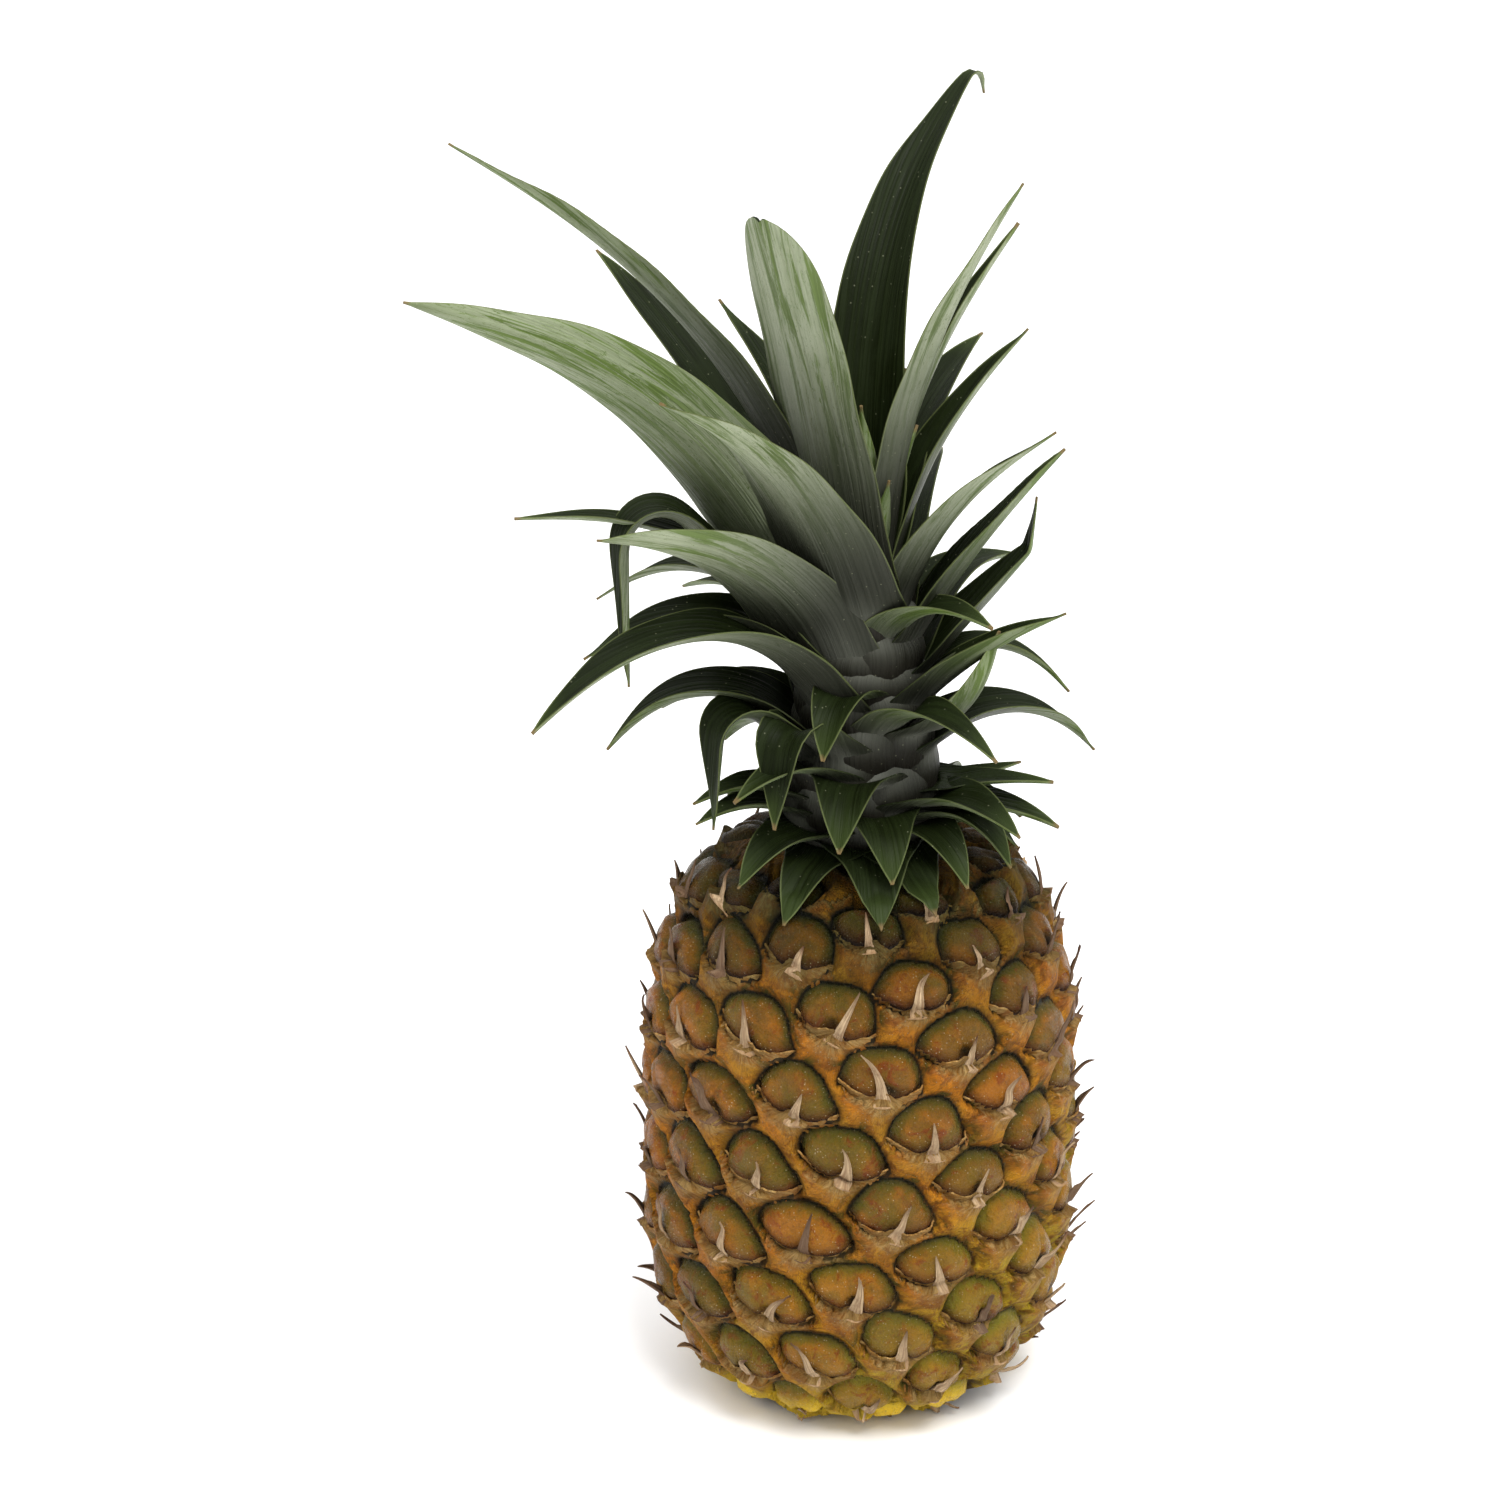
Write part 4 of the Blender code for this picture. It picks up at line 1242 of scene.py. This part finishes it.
def buildLeafMaterial(name, group, under):
    material, shader, place = newMaterial(name, 0.5, 0.12 if under else 0.06)
    names = ("leafSide", "leafReach", "leafShare", "leafEdge", "leafTipAway", "leafBloom", "leafSeed")
    side, reach, share, edge, tipAway, bloom, seed = (readValue(shader, name) for name in names)
    parts = placeGroup(group, Side=side, Reach=reach, Seed=seed)
    specks = placeGroup(smallSpecks, Place=place, Scale=1100.0, Amount=0.05)
    ribs = ramp(parts["Rib"], 0.36, 0.64)
    mottle = ramp(parts["Mottle"], 0.4, 0.66)
    if under:
        grey = layer(mixColour(ribs, "bloom", "bloomRib"), "bloomMottle", mottle, 0.5)
        towardsTip = plus(times(ramp(share, 0.25, 0.75), 0.7), 0.15)
        rubbed = times(ramp(parts["Rubbed"], 0.475, 0.575), towardsTip)
        worn = calc("MAXIMUM", rubbed, times(ramp(parts["Scratch"], 0.56, 0.6), 0.75))
        kept = calc("SUBTRACT", bloom, worn, clamp=True)
        colour = layer(mixColour(ribs, "outerGreen", "outerRib"), grey, kept)
        # painted shade: the leaf darkens towards its base, deep in the crown
        low = mixColour(ribs, "leafBaseShade", "leafBaseShadeRib")
        # paler grey across the middle of each sheath bulge: its bloom and a painted highlight
        bulgeHighlightShare = times(ramp(reach, 1.0, 9.0), ramp(reach, 34.0, 14.0))
        colour = layers(
            colour,
            (low, share, 0.86, 0.27, 0.98, readValue(shader, "leafDeep")),
            ("bulgeBloomAndHighlight", edge, 2.0, 10.0, bulgeHighlightShare, 0.85),
        )
    else:
        colour = mixColour(ribs, "innerGreen", "innerRib")
        colour = layer(colour, "innerMottle", mottle, 0.3)
    # painted shade where the leaf lies under the others near its root
    coveredShade = calc("MAXIMUM", ramp(reach, 11.0, -3.0), ramp(plus(reach, edge), 14.0, 4.0))
    colour = layers(
        layer(colour, "coveredShade", coveredShade, 0.85),
        ("nearTip", tipAway, 14.0, 1.0, 0.4),
        ("leafEdge", edge, 0.36, 0.1, ramp(reach, 14.0, 30.0), 0.38),
        ("dryTip", plus(tipAway, mottle), 2.4, 0.6, 0.8),
    )
    colour = layer(colour, "leafDust", specks["Speck"], 0.3)
    link(colour, shader.inputs["Base Color"])
    dull = ramp(parts["Mottle"], 0.35, 0.65, 0.4 if under else 0.38, 0.55)
    link(dull, shader.inputs["Roughness"])
    addBump(shader, plus(ribs, times(specks["Grain"], 0.3)), 0.12 if under else 0.16)
    return material


leafRibs = buildLeafGroup()
leafMaterials = [
    buildLeafMaterial("leafInnerFace", leafRibs, False),
    buildLeafMaterial("leafOuterFace", leafRibs, True),
]


def buildLeaves(name, rows, seed):
    sheets = {}
    for size, (_, columns, steps) in leafSizes.items():
        sheet = addGrid(size + "Leaf", columns, steps)
        sheets[size] = (sheet, sheetShares(sheet))
    draw = random.Random(seed)
    made = []
    for row in rows:
        size = next(size for size, values in leafSizes.items() if row[2] < values[0])
        sheet, shares = sheets[size]
        leaf = copySheet(sheet, "leaf")
        half, reach, free = shapeLeaf(leaf, shares, row, draw)
        own = row[6]
        addValues(
            leaf,
            leafSide=half * shares[0],
            leafReach=reach,
            leafShare=free,
            leafEdge=half * (1 - np.abs(shares[0])),
            leafTipAway=row[2] - reach + (30.0 if "blunt" in own else 0.0),
            leafSeed=draw.uniform(0, 1),
            leafBloom=own.get("bloom", 0.95 if row[2] > 80 else 0.45),
            # how strongly painted shade darkens this leaf's base
            leafDeep=own.get("deep", 1.0),
        )
        thick = leaf.vertex_groups.new(name="thick")
        body = (1 - shares[0] ** 2) ** 0.6
        weights = (0.3 + 0.7 * body) * (1 - 0.55 * shares[1])
        for index, weight in enumerate(weights.tolist()):
            thick.add([index], weight, "REPLACE")
        made.append(leaf)
    for sheet, _ in sheets.values():
        bpy.data.objects.remove(sheet, do_unlink=True)
    leaves = joinPieces(name, made)
    for material in leafMaterials:
        leaves.data.materials.append(material)
    wall = leaves.modifiers.new("wall", "SOLIDIFY")
    wall.thickness = crownShape["thickness"] * mm
    wall.offset = 0.0
    wall.vertex_group = "thick"
    wall.material_offset = 1
    wall.material_offset_rim = 0
    applyAll(leaves)
    leaves.vertex_groups.clear()
    shadeSmooth(leaves, 60)
    return leaves


allLeaves = frontLeaves + ruledLeaves()
lowRows = [row for row in allLeaves if row[1] < crownShape["lowLeaves"]]
highRows = [row for row in allLeaves if row[1] >= crownShape["lowLeaves"]]
lowLeaves = buildLeaves("crown_low_leaves", lowRows, 41)
highLeaves = buildLeaves("crown_high_leaves", highRows, 43)
for leaves in (lowLeaves, highLeaves):
    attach(leaves, "root")
    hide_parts("crown")
    print(leaves.name, len(leaves.data.polygons), "faces")


# The stem inside the crown, with its radius at shares of its height

crownStem = {
    "height": 70.0,
    "sink": 2.7,
    "share": [0, 0.06, 0.15, 0.55, 0.85, 1.0],
    "radius": [15.5, 16, 15.5, 13, 9, 0.4],
}


def buildHeart():
    deselectAll()
    bpy.ops.mesh.primitive_cylinder_add(vertices=64, radius=1.0, depth=2.0, end_fill_type="NOTHING")
    heart = bpy.context.object
    heart.name = "crown_stem"
    editAll(heart, bpy.ops.mesh.subdivide, number_cuts=3)
    points = readPoints(heart)
    share = (points[:, 2] + 1) / 2
    radius = np.interp(share, crownStem["share"], crownStem["radius"])
    up = profileHeight[-1] - crownStem["sink"] + share * crownStem["height"]
    placePoints(heart, polar(np.arctan2(points[:, 0], -points[:, 1]), radius, up))
    mergeDoubles(heart, 0.5)
    shadeSmooth(heart)
    material, shader, place = newMaterial("leafSheath", 0.6, 0.3)
    stretched = addNode("Mapping", {"Vector": place, "Scale": (1.0, 1.0, 0.12)}).outputs[0]
    streak = speckle(stretched, 700.0)
    colour = mixColour(ramp(streak, 0.35, 0.65), "stemDark", "stemPale")
    link(colour, shader.inputs["Base Color"])
    addBump(shader, streak, 0.4)
    heart.data.materials.append(material)
    return heart


heart = buildHeart()
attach(heart, "root")
print("crown stem:", len(heart.data.polygons), "faces")


# The cut stalk under the fruit

cutStalk = {"radius": 13.0, "depth": 12.0}


def buildStalk():
    deselectAll()
    radius, depth = cutStalk["radius"] * mm, cutStalk["depth"] * mm
    bpy.ops.mesh.primitive_cylinder_add(
        vertices=96, radius=radius, depth=depth, location=(0, 0, depth / 2), end_fill_type="TRIFAN"
    )
    stalk = bpy.context.object
    stalk.name = "cut_stalk"
    bpy.ops.object.transform_apply(location=True, rotation=True, scale=True)
    editAll(stalk, bpy.ops.mesh.subdivide, number_cuts=4)
    for vertex in stalk.data.vertices:
        point = vertex.co
        away = math.hypot(point.x, point.y) / radius
        if point.z < 0.5 * mm:
            worn = 0.4 + 0.3 * noise.noise(point * 450) + 0.15 * noise.noise(point * 1500)
            point.z = (max(0.0, worn) + 0.7 * max(0.0, away - 0.85)) * mm
        elif away > 0.98:
            ridge = 1 + 0.012 * noise.noise(Vector((point.x * 300, point.y * 300, 0)))
            point.x *= min(ridge, 1.0)
            point.y *= min(ridge, 1.0)
    shadeSmooth(stalk, 40)
    material, shader, place = newMaterial("cutStalkFibre", 0.85, 0.2)
    ends = addNode("TexVoronoi", {"Vector": place, "Scale": 900.0}).outputs["Distance"]
    mottle = speckle(place, 220.0, 4.0, 0.7)
    colour = mixColour(ramp(ends, 0.1, 0.5), "fibreDark", "fibrePale")
    colour = layers(colour, ("stalkStain", mottle, 0.5, 0.72))
    link(colour, shader.inputs["Base Color"])
    addBump(shader, plus(ends, mottle), 0.4)
    stalk.data.materials.append(material)
    return stalk


stalk = buildStalk()
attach(stalk, "root")
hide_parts("stem_stub")
print("cut stalk:", len(stalk.data.polygons), "faces")
